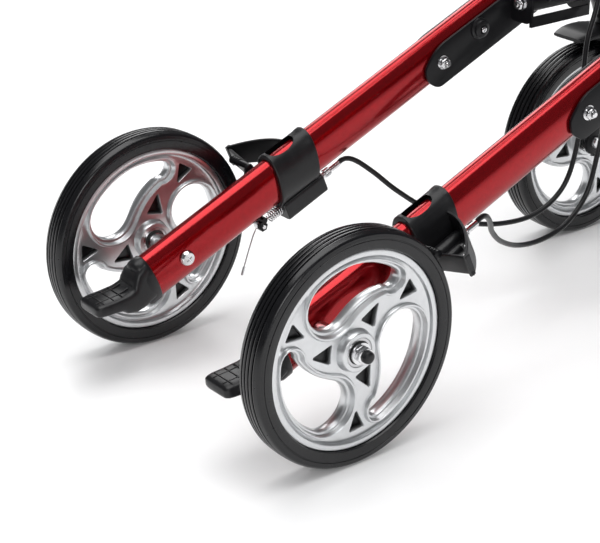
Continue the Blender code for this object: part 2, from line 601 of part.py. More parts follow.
# Brake gear
def brake_sleeve():
    """The moulded sleeve round the leg with its top window, cable channel and outboard bracket."""
    half_x = TUBE_WIDTH / 2 + TOUCH
    half_y = LEG_DEPTH / 2 + TOUCH
    shell = oval_tube(half_x + SLEEVE_WALL, half_y + SLEEVE_WALL, SLEEVE_WALL,
                      SLEEVE_REAR, SLEEVE_FRONT, LEG_LINE)
    body = finish("left_brake_sleeve", shell, PLASTIC)
    channel_low = -CHANNEL_DROP - CHANNEL_RADIUS
    channel_high = -half_y - 0.0012
    profile = [on_leg(SLEEVE_REAR, channel_low), on_leg(SLEEVE_FRONT, channel_low),
               on_leg(SLEEVE_FRONT - 0.0001, channel_high), on_leg(SLEEVE_REAR + 0.0001, channel_high)]
    join(body, side_slab(profile, FRAME_X - CHANNEL_RADIUS, FRAME_X + CHANNEL_RADIUS))
    reach = WHEEL_X + 0.010
    side = FRAME_X + half_x + SLEEVE_WALL * 0.5
    plan = [(side, -SLEEVE_REAR - 0.001), (reach - 0.004, -SLEEVE_REAR - 0.012),
            (reach, -SLEEVE_REAR - 0.022), (side, -SLEEVE_FRONT + 0.001)]
    hole = [(side - 0.004, -SLEEVE_REAR - 0.007), (reach - 0.009, -SLEEVE_REAR - 0.0165),
            (reach - 0.009, -SLEEVE_REAR - 0.019), (side - 0.004, -SLEEVE_FRONT + 0.009)]
    leg_plan = Matrix.Translation(LEG_ORIGIN - X_AXIS * FRAME_X) @ Matrix(
        (X_AXIS, -LEG_AXIS, LEG_UP)).transposed().to_4x4()
    bracket = finish("left_bracket_tool", slab(plan, -0.024, -0.006, leg_plan), PLASTIC)
    bracket.hide_render = True
    bracket.display_type = "WIRE"
    cut(bracket, slab(hole, -0.030, 0.0, leg_plan))
    step = body.modifiers.new("bracket", "BOOLEAN")
    step.operation = "UNION"
    step.object = bracket
    for distance in (0.0115, 0.0225):
        first = on_leg(SLEEVE_REAR + 0.004 + distance * 0.25, -0.013, FRAME_X + half_x + distance)
        last = on_leg(SLEEVE_FRONT - 0.004 - distance * 0.9, -0.013, FRAME_X + half_x + distance)
        join(body, rod(first, last, 0.0035, 10))
    window = oval_bar(0.0085, 0.5 * (SLEEVE_FRONT - SLEEVE_REAR) - 0.008, -0.05, -half_y + 0.006,
                      Matrix.Translation(on_leg((SLEEVE_FRONT + SLEEVE_REAR) / 2)) @ Matrix(
                          (X_AXIS, LEG_AXIS, LEG_UP)).transposed().to_4x4(), 16)
    cut(body, window)
    cut(body, rod(on_leg(SLEEVE_REAR - 0.01, -CHANNEL_DROP), on_leg(SLEEVE_FRONT - 0.012, -CHANNEL_DROP),
                  SPRING_RADIUS + 0.0008, 12))
    cut(body, oval_bar(half_x, half_y, SLEEVE_REAR - 0.01, SLEEVE_FRONT + 0.01, LEG_LINE))


def cable_gear():
    """The barrel adjuster, return spring and cable of the brake."""
    start = on_leg(SLEEVE_FRONT + TOUCH, -CHANNEL_DROP)
    profile = [(0, 0), (ADJUSTER_RADIUS, 0), (ADJUSTER_RADIUS, 0.006), (0.0028, 0.0065),
               (0.0028, 0.0115), (ADJUSTER_RADIUS, 0.012), (ADJUSTER_RADIUS, ADJUSTER_LENGTH),
               (0, ADJUSTER_LENGTH)]
    finish("left_adjuster", turned(profile, start, LEG_AXIS, 12, False), CHROME, start)
    spring_end = on_leg(SLEEVE_REAR + 0.004, -CHANNEL_DROP)
    spring_start = spring_end - LEG_AXIS * SPRING_LENGTH
    finish("left_brake_spring", rod(spring_start, spring_end, SPRING_RADIUS, 10), CHROME, spring_end)
    adjuster_end = start + LEG_AXIS * (ADJUSTER_LENGTH + TOUCH)
    run = [(0.093, 0.1880, 0.1485), (0.089, 0.1985, 0.1455), (0.079, 0.2130, 0.1330),
           (0.065, 0.2300, 0.1150), (0.050, 0.2570, 0.0940), (0.036, 0.2940, 0.0760),
           (0.026, 0.3350, 0.0680), (0.019, 0.3740, 0.0720), (0.015, 0.4050, 0.0950),
           (0.014, 0.4190, 0.1380), (0.018, 0.4250, 0.1850), (0.030, 0.4400, 0.2290),
           (0.042, 0.4640, 0.2620), (0.057, 0.4830, 0.2950), (0.068, 0.4860, 0.3350)]
    shift = FRAME_X - 0.094
    points = [adjuster_end + LEG_AXIS * 0.005]
    points += [place(x + shift, forward, height) for x, forward, height in run]
    exit_along = 0.185
    points.append(on_upright(exit_along - 0.014, 0.0, FRAME_INNER - 0.0145))
    points.append(on_upright(exit_along, 0.0, FRAME_INNER - 0.0060))
    route = [adjuster_end] + smooth_route(points, CABLE_RADIUS * 6)
    route.append(on_upright(exit_along, 0.0, FRAME_INNER - TOUCH))
    bent_tube("left_brake_cable", route, CABLE_RADIUS, PLASTIC, 2)


def brake_arm():
    """The cranked arm whose shoe is pulled back onto the tyre."""
    pivot = on_leg(BRAKE_PIVOT_ALONG, -BRAKE_PIVOT_DROP)
    inner_x = FRAME_X - 0.006
    side_x = FRAME_OUTER + 0.0065
    shoe_distance = WHEEL_RADIUS + SHOE_GAP + SHOE_RADIUS
    shoe_above = 0.012
    shoe_along = math.sqrt(shoe_distance ** 2 - shoe_above ** 2)
    shaft = rod(Vector((inner_x, pivot.y, pivot.z)), Vector((side_x + 0.003, pivot.y, pivot.z)), 0.0030, 10)
    body = finish("left_brake_arm", shaft, STEEL, pivot)
    outline = [(BRAKE_PIVOT_ALONG - 0.005, -BRAKE_PIVOT_DROP - 0.004),
               (BRAKE_PIVOT_ALONG + 0.005, -BRAKE_PIVOT_DROP - 0.004),
               (SLEEVE_REAR - 0.004, -0.012), (shoe_along + 0.004, shoe_above - 0.004),
               (shoe_along + 0.003, shoe_above + 0.004), (shoe_along - 0.004, shoe_above + 0.004),
               (BRAKE_PIVOT_ALONG - 0.005, -BRAKE_PIVOT_DROP + 0.005)]
    outline = [(min(along, SLEEVE_REAR - 0.0012) if above < 0.02 and along < 0.1 else along, above)
               for along, above in outline]
    points = [on_leg(along, above) for along, above in outline]
    join(body, side_slab(points, side_x, side_x + PLATE_THICKNESS))
    shoe_start = on_leg(shoe_along, shoe_above, side_x + 0.0015)
    shoe_end = on_leg(shoe_along, shoe_above, WHEEL_X + REAR_TYRE_WIDTH / 2)
    join(body, rod(shoe_start, shoe_end, SHOE_RADIUS - 0.0005, 12))
    clamp_low = on_leg(BRAKE_PIVOT_ALONG - 0.004, -CHANNEL_DROP - 0.0045)
    clamp = [on_leg(BRAKE_PIVOT_ALONG - 0.004, -BRAKE_PIVOT_DROP + 0.0010), clamp_low,
             on_leg(BRAKE_PIVOT_ALONG + 0.0055, -CHANNEL_DROP - 0.0045),
             on_leg(BRAKE_PIVOT_ALONG + 0.0055, -BRAKE_PIVOT_DROP + 0.0010)]
    join(body, side_slab(clamp, FRAME_X - 0.0045, FRAME_X + 0.0045))


# Handles
def handle_path():
    """The handle tube's route: up out of the upright, round a bend and back to the grip."""
    top = UPRIGHT_START + UPRIGHT_LENGTH
    bend_start = top + HANDLE_RISE
    back = Vector((0, math.cos(HANDLE_SLOPE), math.sin(HANDLE_SLOPE)))
    corner = on_upright(bend_start + HANDLE_BEND)
    points = [on_upright(top - HANDLE_OVERLAP), on_upright(bend_start)]
    first = on_upright(bend_start)
    last = corner + back * HANDLE_BEND
    for part in (0.125, 0.25, 0.375, 0.5, 0.625, 0.75, 0.875):
        points.append(first * (1 - part) ** 2 + corner * 2 * part * (1 - part) + last * part ** 2)
    points.append(last)
    end = corner + back * HANDLE_REACH
    points.append(end)
    return points, last, end, back


def handle():
    """The height-adjustable handle: tube, grip, lever housing and brake lever."""
    points, last, end, back = handle_path()
    origin = points[0]
    bent_tube("left_handle_tube", points, HANDLE_RADIUS, RED, 3, origin)
    bore = HANDLE_RADIUS + TOUCH
    cap = 0.004
    profile = [(bore, 0), (GRIP_RADIUS - 0.001, 0), (GRIP_RADIUS, 0.004), (GRIP_RADIUS - 0.0018, 0.030),
               (GRIP_RADIUS, 0.065), (GRIP_RADIUS - 0.001, GRIP_LENGTH - 0.004),
               (GRIP_RADIUS - 0.005, GRIP_LENGTH + cap), (0, GRIP_LENGTH + cap),
               (0, GRIP_LENGTH + TOUCH), (bore, GRIP_LENGTH + TOUCH)]
    grip_start = end - back * GRIP_LENGTH
    finish("left_grip", turned(profile + [profile[0]], grip_start, back, 16, False), PLASTIC, grip_start)

    down = Vector((0, back.z, -back.y))
    housing_end = grip_start - back * 0.001
    housing_start = housing_end - back * HOUSING_LENGTH
    shell = finish("left_lever_housing", rod(housing_start, housing_end, 0.0165, 16), PLASTIC)
    pin = housing_start + back * 0.012 + down * 0.026
    ear = [housing_start + down * 0.010, housing_end - back * 0.002 + down * 0.010,
           housing_end - back * 0.004 + down * 0.034, housing_start + back * 0.002 + down * 0.034]
    join(shell, side_slab(ear, FRAME_X - 0.0125, FRAME_X + 0.0125))
    slot = [housing_start - back * 0.02 + down * 0.0175, housing_end + back * 0.02 + down * 0.0175,
            housing_end + back * 0.02 + down * 0.05, housing_start - back * 0.02 + down * 0.05]
    cut(shell, side_slab(slot, FRAME_X - 0.0078, FRAME_X + 0.0078))
    cut(shell, rod(housing_start - back * 0.02, housing_end + back * 0.02, bore, 16))

    outline = [pin - back * 0.008 - down * 0.006, pin + back * 0.010 - down * 0.006,
               pin + back * 0.030 + down * 0.008, pin + back * 0.070 + down * 0.018,
               pin + back * 0.115 + down * 0.019, pin + back * 0.130 + down * 0.025,
               pin + back * 0.128 + down * 0.034, pin + back * 0.112 + down * 0.029,
               pin + back * 0.070 + down * 0.028, pin + back * 0.026 + down * 0.019,
               pin + back * 0.002 + down * 0.008, pin - back * 0.008 + down * 0.006]
    finish("left_brake_lever", side_slab(outline, FRAME_X - 0.0070, FRAME_X + 0.0070), PLASTIC, pin)


# Scissor and seat
def brace(name, foot_x, forward):
    """One scissor tube: a pivot tube at its foot and a mouth that seats on the rail at its top."""
    foot = place(foot_x, forward, PIVOT_HEIGHT)
    head = place(-foot_x, forward, RAIL_HEIGHT)
    body = finish(name, rod(foot, head, BRACE_RADIUS, 16), STEEL, foot)
    start = BRACKET_FORWARD + PLATE_THICKNESS + TOUCH
    barrel = rod(place(foot_x, start, PIVOT_HEIGHT), place(foot_x, start + PIVOT_TUBE_LENGTH, PIVOT_HEIGHT),
                 BRACE_RADIUS, 14)
    join(body, barrel)
    bore = rod(place(foot_x, start - 0.01, PIVOT_HEIGHT),
               place(foot_x, start + PIVOT_TUBE_LENGTH + 0.01, PIVOT_HEIGHT), BOLT_RADIUS + RUNNING, 12)
    cut(body, bore)
    mouth = rod(place(-foot_x, forward - 0.03, RAIL_HEIGHT), place(-foot_x, forward + 0.03, RAIL_HEIGHT),
                BRACE_RADIUS + TOUCH, 16)
    cut(body, mouth)
    middle = (PIVOT_HEIGHT + RAIL_HEIGHT) / 2
    cut(body, rod(place(0, forward - 0.03, middle), place(0, forward + 0.03, middle),
                  BOLT_RADIUS + RUNNING, 12))


def scissor():
    brace("rear_brace", PIVOT_X, REAR_BRACE_FORWARD)
    brace("front_brace", -PIVOT_X, FRONT_BRACE_FORWARD)
    middle = (PIVOT_HEIGHT + RAIL_HEIGHT) / 2
    rear = REAR_BRACE_FORWARD - BRACE_RADIUS - TOUCH
    length = BRACE_SPACING + 2 * BRACE_RADIUS + 2 * TOUCH
    centre = place(0, rear, middle)
    profile = [(0, -BOLT_HEAD_HEIGHT), (BOLT_HEAD_RADIUS, -BOLT_HEAD_HEIGHT), (BOLT_HEAD_RADIUS, 0),
               (BOLT_RADIUS, 0), (BOLT_RADIUS, length), (BOLT_HEAD_RADIUS, length),
               (BOLT_HEAD_RADIUS, length + BOLT_HEAD_HEIGHT), (0, length + BOLT_HEAD_HEIGHT)]
    finish("brace_bolt", turned(profile, centre, Vector((0, -1, 0)), 12, False), CHROME, centre)
    gap_start = REAR_BRACE_FORWARD + BRACE_RADIUS + TOUCH
    gap = BRACE_SPACING - 2 * BRACE_RADIUS - 2 * TOUCH
    ring = [(BOLT_RADIUS + TOUCH, 0), (0.0085, 0), (0.0085, gap), (BOLT_RADIUS + TOUCH, gap)]
    washer = turned(ring, place(0, gap_start, middle), Vector((0, -1, 0)), 14, True)
    finish("brace_spacer", washer, PLASTIC, place(0, gap_start, middle))


def seat():
    """A seat rail and the half of the seat that hinges on it, standing upright when folded."""
    line = Matrix.Translation(place(PIVOT_X, 0, RAIL_HEIGHT)) @ Matrix(
        (X_AXIS, Vector((0, 0, 1)), Vector((0, 1, 0)))).transposed().to_4x4()
    rail = oval_tube(BRACE_RADIUS, BRACE_RADIUS, RAIL_WALL, RAIL_REAR, RAIL_FRONT, line, 16)
    finish("left_seat_rail", rail, STEEL, place(PIVOT_X, RAIL_REAR, RAIL_HEIGHT))
    half = SEAT_THICKNESS / 2
    low, high = corners(PIVOT_X - half, PIVOT_X + half, SEAT_REAR, SEAT_FRONT,
                        RAIL_HEIGHT + BRACE_RADIUS + 0.001, RAIL_HEIGHT + SEAT_REACH)
    panel = block(low, high)
    upper = [edge for edge in panel.edges if min(v.co.z for v in edge.verts) > high.z - 0.001]
    bmesh.ops.bevel(panel, geom=upper, offset=0.004, segments=2, profile=0.5, affect="EDGES",
                    material=-1)
    finish("left_seat_panel", panel, WEBBING, place(PIVOT_X, SEAT_REAR, RAIL_HEIGHT))


def mirror_to_right():
    """Give every left-hand piece its mirrored right-hand twin."""
    graph = bpy.context.evaluated_depsgraph_get()
    for piece in list(bpy.context.scene.objects):
        if piece.hide_render or not piece.name.startswith("left_"):
            continue
        twin_data = bmesh.new()
        shape = piece.evaluated_get(graph).to_mesh()
        twin_data.from_mesh(shape)
        bmesh.ops.scale(twin_data, vec=(-1, 1, 1), verts=twin_data.verts)
        bmesh.ops.reverse_faces(twin_data, faces=twin_data.faces)
        if piece.name.endswith("_rim"):
            bmesh.ops.rotate(twin_data, verts=twin_data.verts, cent=(0, 0, 0),
                             matrix=Matrix.Rotation(RIGHT_WHEEL_TURN, 3, "X"))
        name = piece.name.replace("left_", "right_", 1)
        mesh = bpy.data.meshes.new(name)
        twin_data.to_mesh(mesh)
        twin_data.free()
        mesh.materials.append(piece.data.materials[0])
        mesh.shade_smooth()
        mesh.set_sharp_from_angle(angle=math.radians(35))
        twin = bpy.data.objects.new(name, mesh)
        twin.location = (-piece.location.x, piece.location.y, piece.location.z)
        bpy.context.scene.collection.objects.link(twin)


leg()
tip_lever()
plates()
upright()
cradle()
rear_wheel_and_axle()
fork()
brake_sleeve()
cable_gear()
brake_arm()
handle()
seat()
scissor()
bpy.context.view_layer.update()
mirror_to_right()
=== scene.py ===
import json
import math

import bmesh
import bpy
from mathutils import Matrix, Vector


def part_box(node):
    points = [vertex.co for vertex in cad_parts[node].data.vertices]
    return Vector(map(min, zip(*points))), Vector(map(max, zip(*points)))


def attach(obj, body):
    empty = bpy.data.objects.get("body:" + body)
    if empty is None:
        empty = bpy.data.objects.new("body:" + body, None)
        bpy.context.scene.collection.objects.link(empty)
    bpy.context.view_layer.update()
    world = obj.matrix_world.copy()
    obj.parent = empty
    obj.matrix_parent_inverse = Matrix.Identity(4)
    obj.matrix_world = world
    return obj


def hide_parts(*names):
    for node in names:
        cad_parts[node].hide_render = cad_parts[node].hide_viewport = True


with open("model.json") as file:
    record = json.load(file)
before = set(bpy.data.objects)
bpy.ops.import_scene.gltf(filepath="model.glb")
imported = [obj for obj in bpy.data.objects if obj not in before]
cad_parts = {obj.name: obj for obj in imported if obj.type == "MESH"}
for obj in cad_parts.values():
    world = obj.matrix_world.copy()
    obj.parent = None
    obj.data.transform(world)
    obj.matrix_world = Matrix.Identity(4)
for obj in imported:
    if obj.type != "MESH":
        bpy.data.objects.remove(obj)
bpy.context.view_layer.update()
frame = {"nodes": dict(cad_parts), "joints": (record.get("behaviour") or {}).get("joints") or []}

joints = {joint["name"]: joint for joint in frame["joints"]}


def settle(node, **values):
    """Set a node's inputs; an underscore in a name stands for a space."""
    for label, value in values.items():
        node.inputs[label.replace("_", " ")].default_value = value
    return node


# The studio. A white table fills the view under one big soft light from above and two weaker ones;
# the pale room lights it evenly but reads dim in reflections, so the lacquer shows a dark band.
table = bpy.data.meshes.new("table")
table_data = bmesh.new()
bmesh.ops.create_circle(table_data, cap_ends=True, segments=96, radius=30.0)
table_data.to_mesh(table)
table_data.free()
floor = bpy.data.objects.new("table", table)
bpy.context.scene.collection.objects.link(floor)
floor_paint = bpy.data.materials.new("white_table")
floor_paint.use_nodes = True
settle(floor_paint.node_tree.nodes["Principled BSDF"], Base_Color=(0.93, 0.93, 0.93, 1), Roughness=0.55)
table.materials.append(floor_paint)


def soft_light(name, spot, aim, width, height, power):
    lamp = bpy.data.lights.new(name, "AREA")
    lamp.shape = "RECTANGLE"
    lamp.size = width
    lamp.size_y = height
    lamp.energy = power
    light = bpy.data.objects.new(name, lamp)
    light.location = spot
    light.rotation_euler = (Vector(aim) - Vector(spot)).to_track_quat("-Z", "Y").to_euler()
    bpy.context.scene.collection.objects.link(light)


soft_light("overhead_softbox", (0.1, 0.1, 2.9), (0, 0, 0), 2.6, 2.6, 70)
soft_light("window_side", (-2.6, 1.4, 1.5), (0, 0, 0.35), 1.5, 1.0, 24)
soft_light("far_side", (2.4, -1.2, 1.8), (0, 0, 0.3), 1.4, 1.4, 22)

room = bpy.data.worlds.new("pale_room")
bpy.context.scene.world = room
room.use_nodes = True
tree = room.node_tree
tree.nodes.clear()
out = tree.nodes.new("ShaderNodeOutputWorld")
mix = tree.nodes.new("ShaderNodeMixShader")
seen = tree.nodes.new("ShaderNodeLightPath")
bpy.context.scene.view_settings.view_transform = "Standard"
pale = settle(tree.nodes.new("ShaderNodeBackground"), Color=(0.95, 0.95, 0.96, 1), Strength=0.62)
dim = settle(tree.nodes.new("ShaderNodeBackground"), Color=(0.55, 0.56, 0.58, 1), Strength=0.25)
tree.links.new(seen.outputs["Is Glossy Ray"], mix.inputs["Fac"])
tree.links.new(pale.outputs["Background"], mix.inputs[1])
tree.links.new(dim.outputs["Background"], mix.inputs[2])
tree.links.new(mix.outputs["Shader"], out.inputs["Surface"])

# The camera stands behind the frame on the user's right, about 1.4 m off, and looks down on the
# rear wheels with a long lens.
rear_hub = Vector(joints["left_rear_wheel_spin"]["pos_m"])
camera_data = bpy.data.cameras.new("camera")
camera_data.lens = 106.2
camera_data.sensor_width = 36.0
camera = bpy.data.objects.new("camera", camera_data)
camera.location = Vector((-1.1117, rear_hub.y + 0.8027, 0.7194))
heading = math.radians(127.914)
dip = math.radians(23.76)
look = Vector((math.sin(heading) * math.cos(dip), math.cos(heading) * math.cos(dip), -math.sin(dip)))
camera.rotation_euler = look.to_track_quat("-Z", "Y").to_euler()
bpy.context.scene.collection.objects.link(camera)
bpy.context.scene.camera = camera


# Brake cables. A steel wire runs in a 5 mm black plastic cover from each barrel adjuster, in a free
# loop under the scissor bracket, and up into the inner face of the upright through a rubber bush.
X, Y, Z = Vector((1, 0, 0)), Vector((0, 1, 0)), Vector((0, 0, 1))
front_hub = Vector(joints["left_front_wheel_spin"]["pos_m"])
FRAME_X = front_hub.x
TUBE_HALF = 0.0125
LEG_HALF = 0.0225
UPRIGHT_HALF = 0.021
FRAME_INNER = FRAME_X - TUBE_HALF
PITCH = math.radians(23.2)
LEAN = math.radians(22)
LEG_AXIS = Vector((0, -math.cos(PITCH), math.sin(PITCH)))
LEG_UP = Vector((0, math.sin(PITCH), math.cos(PITCH)))
UPRIGHT_AXIS = Vector((0, math.sin(LEAN), math.cos(LEAN)))
UPRIGHT_BACK = Vector((0, math.cos(LEAN), -math.sin(LEAN)))
STEM = Vector(joints["left_caster_swivel"]["pos_m"])
UPRIGHT_FOOT = STEM + Vector((0, 0, 0.0006))
SLEEVE_FRONT = 0.158
WIRE_DROP = 0.031
CABLE_RADIUS = 0.0025


def leg_spot(along, above=0.0, x=FRAME_X):
    """A point in the leg's own frame: along it from the axle, square above it, and sideways."""
    return Vector((x, rear_hub.y, rear_hub.z)) + LEG_AXIS * along + LEG_UP * above


def upright_spot(along, back=0.0, x=FRAME_X):
    return Vector((x, UPRIGHT_FOOT.y, UPRIGHT_FOOT.z)) + UPRIGHT_AXIS * along + UPRIGHT_BACK * back


def smoothed(points, step):
    """Evenly spaced points on a smooth curve through the given ones."""
    ends = [points[0] * 2 - points[1]] + list(points) + [points[-1] * 2 - points[-2]]
    fine = []
    for before, start, end, after in zip(ends, ends[1:], ends[2:], ends[3:]):
        for part in range(20):
            t = part / 20
            fine.append(0.5 * (2 * start + (end - before) * t
                               + (2 * before - 5 * start + 4 * end - after) * t ** 2
                               + (3 * start - before - 3 * end + after) * t ** 3))
    fine.append(points[-1])
    total = sum((b - a).length for a, b in zip(fine, fine[1:]))
    count = max(2, round(total / step))
    route = [fine[0]]
    walked = 0.0
    for a, b in zip(fine, fine[1:]):
        length = (b - a).length
        while length > 0 and len(route) < count and walked + length >= len(route) * total / count:
            route.append(a.lerp(b, (len(route) * total / count - walked) / length))
        walked += length
    return route + [points[-1]]


def lofted(rings, closed=False, data=None):
    """Bridge rings of points one after another, and cap both ends unless the loft is closed."""
    data = data or bmesh.new()
    loops = []
    for ring_points in rings:
        verts = [data.verts.new(point) for point in ring_points]
        loops.append([data.edges.new(pair) for pair in zip(verts, verts[1:] + verts[:1])])
    for before, after in zip(loops, loops[1:] + (loops[:1] if closed else [])):
        bmesh.ops.bridge_loops(data, edges=before + after)
    if not closed:
        for end in (loops[0], loops[-1]):
            bmesh.ops.contextual_create(data, geom=end)
    bmesh.ops.recalc_face_normals(data, faces=data.faces)
    return data


def oval(half_across, half_up, count=48, power=2.0):
    """A superellipse; a power of 2 is an ellipse and a higher one is squarer."""
    points = []
    for i in range(count):
        c, s = math.cos(2 * math.pi * i / count), math.sin(2 * math.pi * i / count)
        points.append((half_across * math.copysign(abs(c) ** (2 / power), c),
                       half_up * math.copysign(abs(s) ** (2 / power), s)))
    return points


def polar(radius, angle):
    return radius * math.cos(angle), radius * math.sin(angle)


def ring(radius, count):
    return [polar(radius, 2 * math.pi * i / count) for i in range(count)]


def swept(points, section, up=None, data=None, closed=False):
    """Carry a section of (across, up) points, or one given for each step, along a route."""
    rings = []
    for i, point in enumerate(points):
        ahead = (points[min(i + 1, len(points) - 1)] - points[max(i - 1, 0)]).normalized()
        up = up or ahead.orthogonal()
        up = (up - ahead * up.dot(ahead)).normalized()
        across = ahead.cross(up)
        shape = section(i) if callable(section) else section
        rings.append([point + across * a + up * b for a, b in shape])
    return lofted(rings, closed, data)


def surface(name, colour, metallic, roughness, grain=400.0, bump=0.02, tint=0.06, coat=0.0,
            rough_spread=0.08, index=1.5):
    """A finish: base colour with a faint mottle, uneven roughness and a fine raised grain."""
    paint = bpy.data.materials.new(name)
    paint.use_nodes = True
    nodes, links = paint.node_tree.nodes, paint.node_tree.links
    shader = nodes["Principled BSDF"]
    settle(shader, Metallic=metallic, Coat_Weight=coat, IOR=index, Coat_Roughness=0.04)
    where = nodes.new("ShaderNodeTexCoord")
    cloud = settle(nodes.new("ShaderNodeTexNoise"), Scale=grain * 0.12, Detail=4.0)
    links.new(where.outputs["Object"], cloud.inputs["Vector"])
    ramp = nodes.new("ShaderNodeValToRGB")
    ramp.color_ramp.elements[0].position = 0.3
    ramp.color_ramp.elements[1].position = 0.7
    ramp.color_ramp.elements[0].color = (*[c * (1 - tint) for c in colour], 1)
    ramp.color_ramp.elements[1].color = (*[min(1, c * (1 + tint)) for c in colour], 1)
    links.new(cloud.outputs["Fac"], ramp.inputs["Fac"])
    links.new(ramp.outputs["Color"], shader.inputs["Base Color"])
    spread = settle(nodes.new("ShaderNodeMapRange"), To_Min=max(0.02, roughness - rough_spread / 2),
                    To_Max=roughness + rough_spread / 2)
    links.new(cloud.outputs["Fac"], spread.inputs["Value"])
    links.new(spread.outputs["Result"], shader.inputs["Roughness"])
    fine = settle(nodes.new("ShaderNodeTexNoise"), Scale=grain, Detail=3.0)
    links.new(where.outputs["Object"], fine.inputs["Vector"])
    raised = settle(nodes.new("ShaderNodeBump"), Strength=bump, Distance=0.001)
    links.new(fine.outputs["Fac"], raised.inputs["Height"])
    links.new(raised.outputs["Normal"], shader.inputs["Normal"])
    return paint


def fit_on(name, data, paint, body, stands_for=(), smooth=32, bevel=None, twin=True):
    """Finish a piece and hang it on its body; a left-hand piece also gets its mirrored twin."""
    sides = [(name, body, stands_for, 1)]
    if twin and name.startswith("left_"):
        swap = [node.replace("left_", "right_") for node in stands_for]
        sides.append((name.replace("left_", "right_"), body.replace("left_", "right_"), swap, -1))
    finished = []
    for label, carrier, nodes, side in sides:
        copy = data.copy()
        if side < 0:
            bmesh.ops.scale(copy, vec=(-1, 1, 1), verts=copy.verts)
            bmesh.ops.reverse_faces(copy, faces=copy.faces)
        mesh = bpy.data.meshes.new(label)
        copy.to_mesh(mesh)
        copy.free()
        mesh.shade_smooth()
        mesh.set_sharp_from_angle(angle=math.radians(smooth))
        mesh.materials.append(paint)
        piece = bpy.data.objects.new(label, mesh)
        bpy.context.scene.collection.objects.link(piece)
        if bevel:
            edge = piece.modifiers.new("edge", "BEVEL")
            edge.width = bevel
            edge.segments = 2
            edge.limit_method = "ANGLE"
            edge.angle_limit = math.radians(35)
        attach(piece, carrier)
        if nodes:
            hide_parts(*nodes)
        finished.append(piece)
    data.free()
    return finished


BLACK_COVER = surface("black_cable_cover", (0.01, 0.01, 0.011), 0.0, 0.3, grain=700, bump=0.02, index=1.4)
CHROME = surface("chromed_steel", (0.74, 0.74, 0.75), 1.0, 0.16, grain=900, bump=0.03, tint=0.04)
RUBBER = surface("black_tyre_rubber", (0.004, 0.004, 0.005), 0.0, 0.25, grain=1400, bump=0.04, index=1.46,
                 tint=0.25, rough_spread=0.14)
cable_start = leg_spot(SLEEVE_FRONT + 0.0186, -WIRE_DROP)
run = [(0.093, 0.188, 0.1485), (0.089, 0.1985, 0.1455), (0.079, 0.213, 0.133), (0.065, 0.23, 0.115),
       (0.05, 0.257, 0.094), (0.036, 0.294, 0.076), (0.026, 0.335, 0.068), (0.019, 0.374, 0.072),
       (0.015, 0.405, 0.095), (0.014, 0.419, 0.138), (0.018, 0.425, 0.185), (0.03, 0.44, 0.229),
       (0.042, 0.464, 0.262), (0.057, 0.483, 0.295), (0.068, 0.486, 0.335)]
points = [cable_start, cable_start + LEG_AXIS * 0.005]
points += [Vector((x, rear_hub.y - forward, height)) for x, forward, height in run]
points += [upright_spot(0.171, 0, FRAME_INNER - 0.0145), upright_spot(0.185, 0, FRAME_INNER - 0.006),
           upright_spot(0.185, 0, FRAME_INNER - 0.0003)]
route = smoothed(points, 0.004)
covers = fit_on("left_cable_cover", swept(route, ring(CABLE_RADIUS, 16)), BLACK_COVER, "left_frame",
                ["left_brake_cable"])
ferrules = fit_on("left_cable_ferrule",
                  swept([cable_start - LEG_AXIS * 0.0006, cable_start + LEG_AXIS * 0.008],
                        ring(0.0031, 20)), CHROME, "left_frame", ())
bush_ends = [upright_spot(0.185, 0, FRAME_INNER - inset) for inset in (0.004, 0.0002)]
bushes = fit_on("left_cable_bush", swept(bush_ends, ring(0.0048, 24)), RUBBER, "left_frame", (),
                bevel=0.0012)
for side, cover, ferrule, bush in zip((1, -1), covers, ferrules, bushes):
    path = [Vector((point.x * side, point.y, point.z)) for point in route]


# Cast wheels. Four one-piece light-alloy castings, lacquered satin silver, each with three
# comma-shaped openings in fluted borders, small weight-saving pockets and a raised hub.
rim_low, rim_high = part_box("left_rear_rim")
RIM = (rim_high.y - rim_low.y) / 2
WEB = 0.0062
FLANGE = 0.0108
WELL = RIM * 0.915
OUTER = RIM * 0.843
INNER = RIM * 0.342
TAIL_SWEEP = math.radians(65)
TAIL_ROUND = 0.0078
LEFT_TURN = math.radians(142)
RIGHT_TURN = math.radians(118)


def turned(profile, centre, axis, steps, closed=False, data=None):
    """Spin (radius, distance along the axis) points once round the axis."""
    data = data or bmesh.new()
    axis = axis.normalized()
    out = axis.orthogonal().normalized()
    verts = [data.verts.new(centre + out * radius + axis * along) for radius, along in profile]
    edges = [data.edges.new(pair) for pair in zip(verts, verts[1:])]
    if closed:
        edges.append(data.edges.new((verts[-1], verts[0])))
    bmesh.ops.spin(data, geom=verts + edges, cent=centre, axis=axis, angle=2 * math.pi, steps=steps,
                   use_merge=True)
    bmesh.ops.remove_doubles(data, verts=data.verts, dist=0.000005)
    bmesh.ops.recalc_face_normals(data, faces=data.faces)
    return data


def comma(turn, grow):
    """One opening's outline, (forward-up plane) points, grown outwards by an offset."""
    outer = OUTER + grow * 0.7
    inner = INNER - grow
    middle = (outer + inner) / 2
    head = (outer - inner) / 2
    round_end = TAIL_ROUND + grow * 0.75
    tail = outer - round_end
    points = []
    for i in range(21):
        part = i / 20
        points.append((inner + (tail - round_end - inner) * part ** 1.9, turn - TAIL_SWEEP * part))
    for i in range(1, 10):
        bend = math.pi * i / 10
        points.append((tail - round_end * math.cos(bend),
                       turn - TAIL_SWEEP - round_end * math.sin(bend) / tail))
    for i in range(18):
        points.append((outer, turn - TAIL_SWEEP * (1 - i / 17)))
    outline = [polar(radius, angle) for radius, angle in points]
    centre = polar(middle, turn)
    for i in range(1, 18):
        angle = turn + math.pi * i / 18
        outline.append((centre[0] + head * math.cos(angle), centre[1] + head * math.sin(angle)))
    return outline


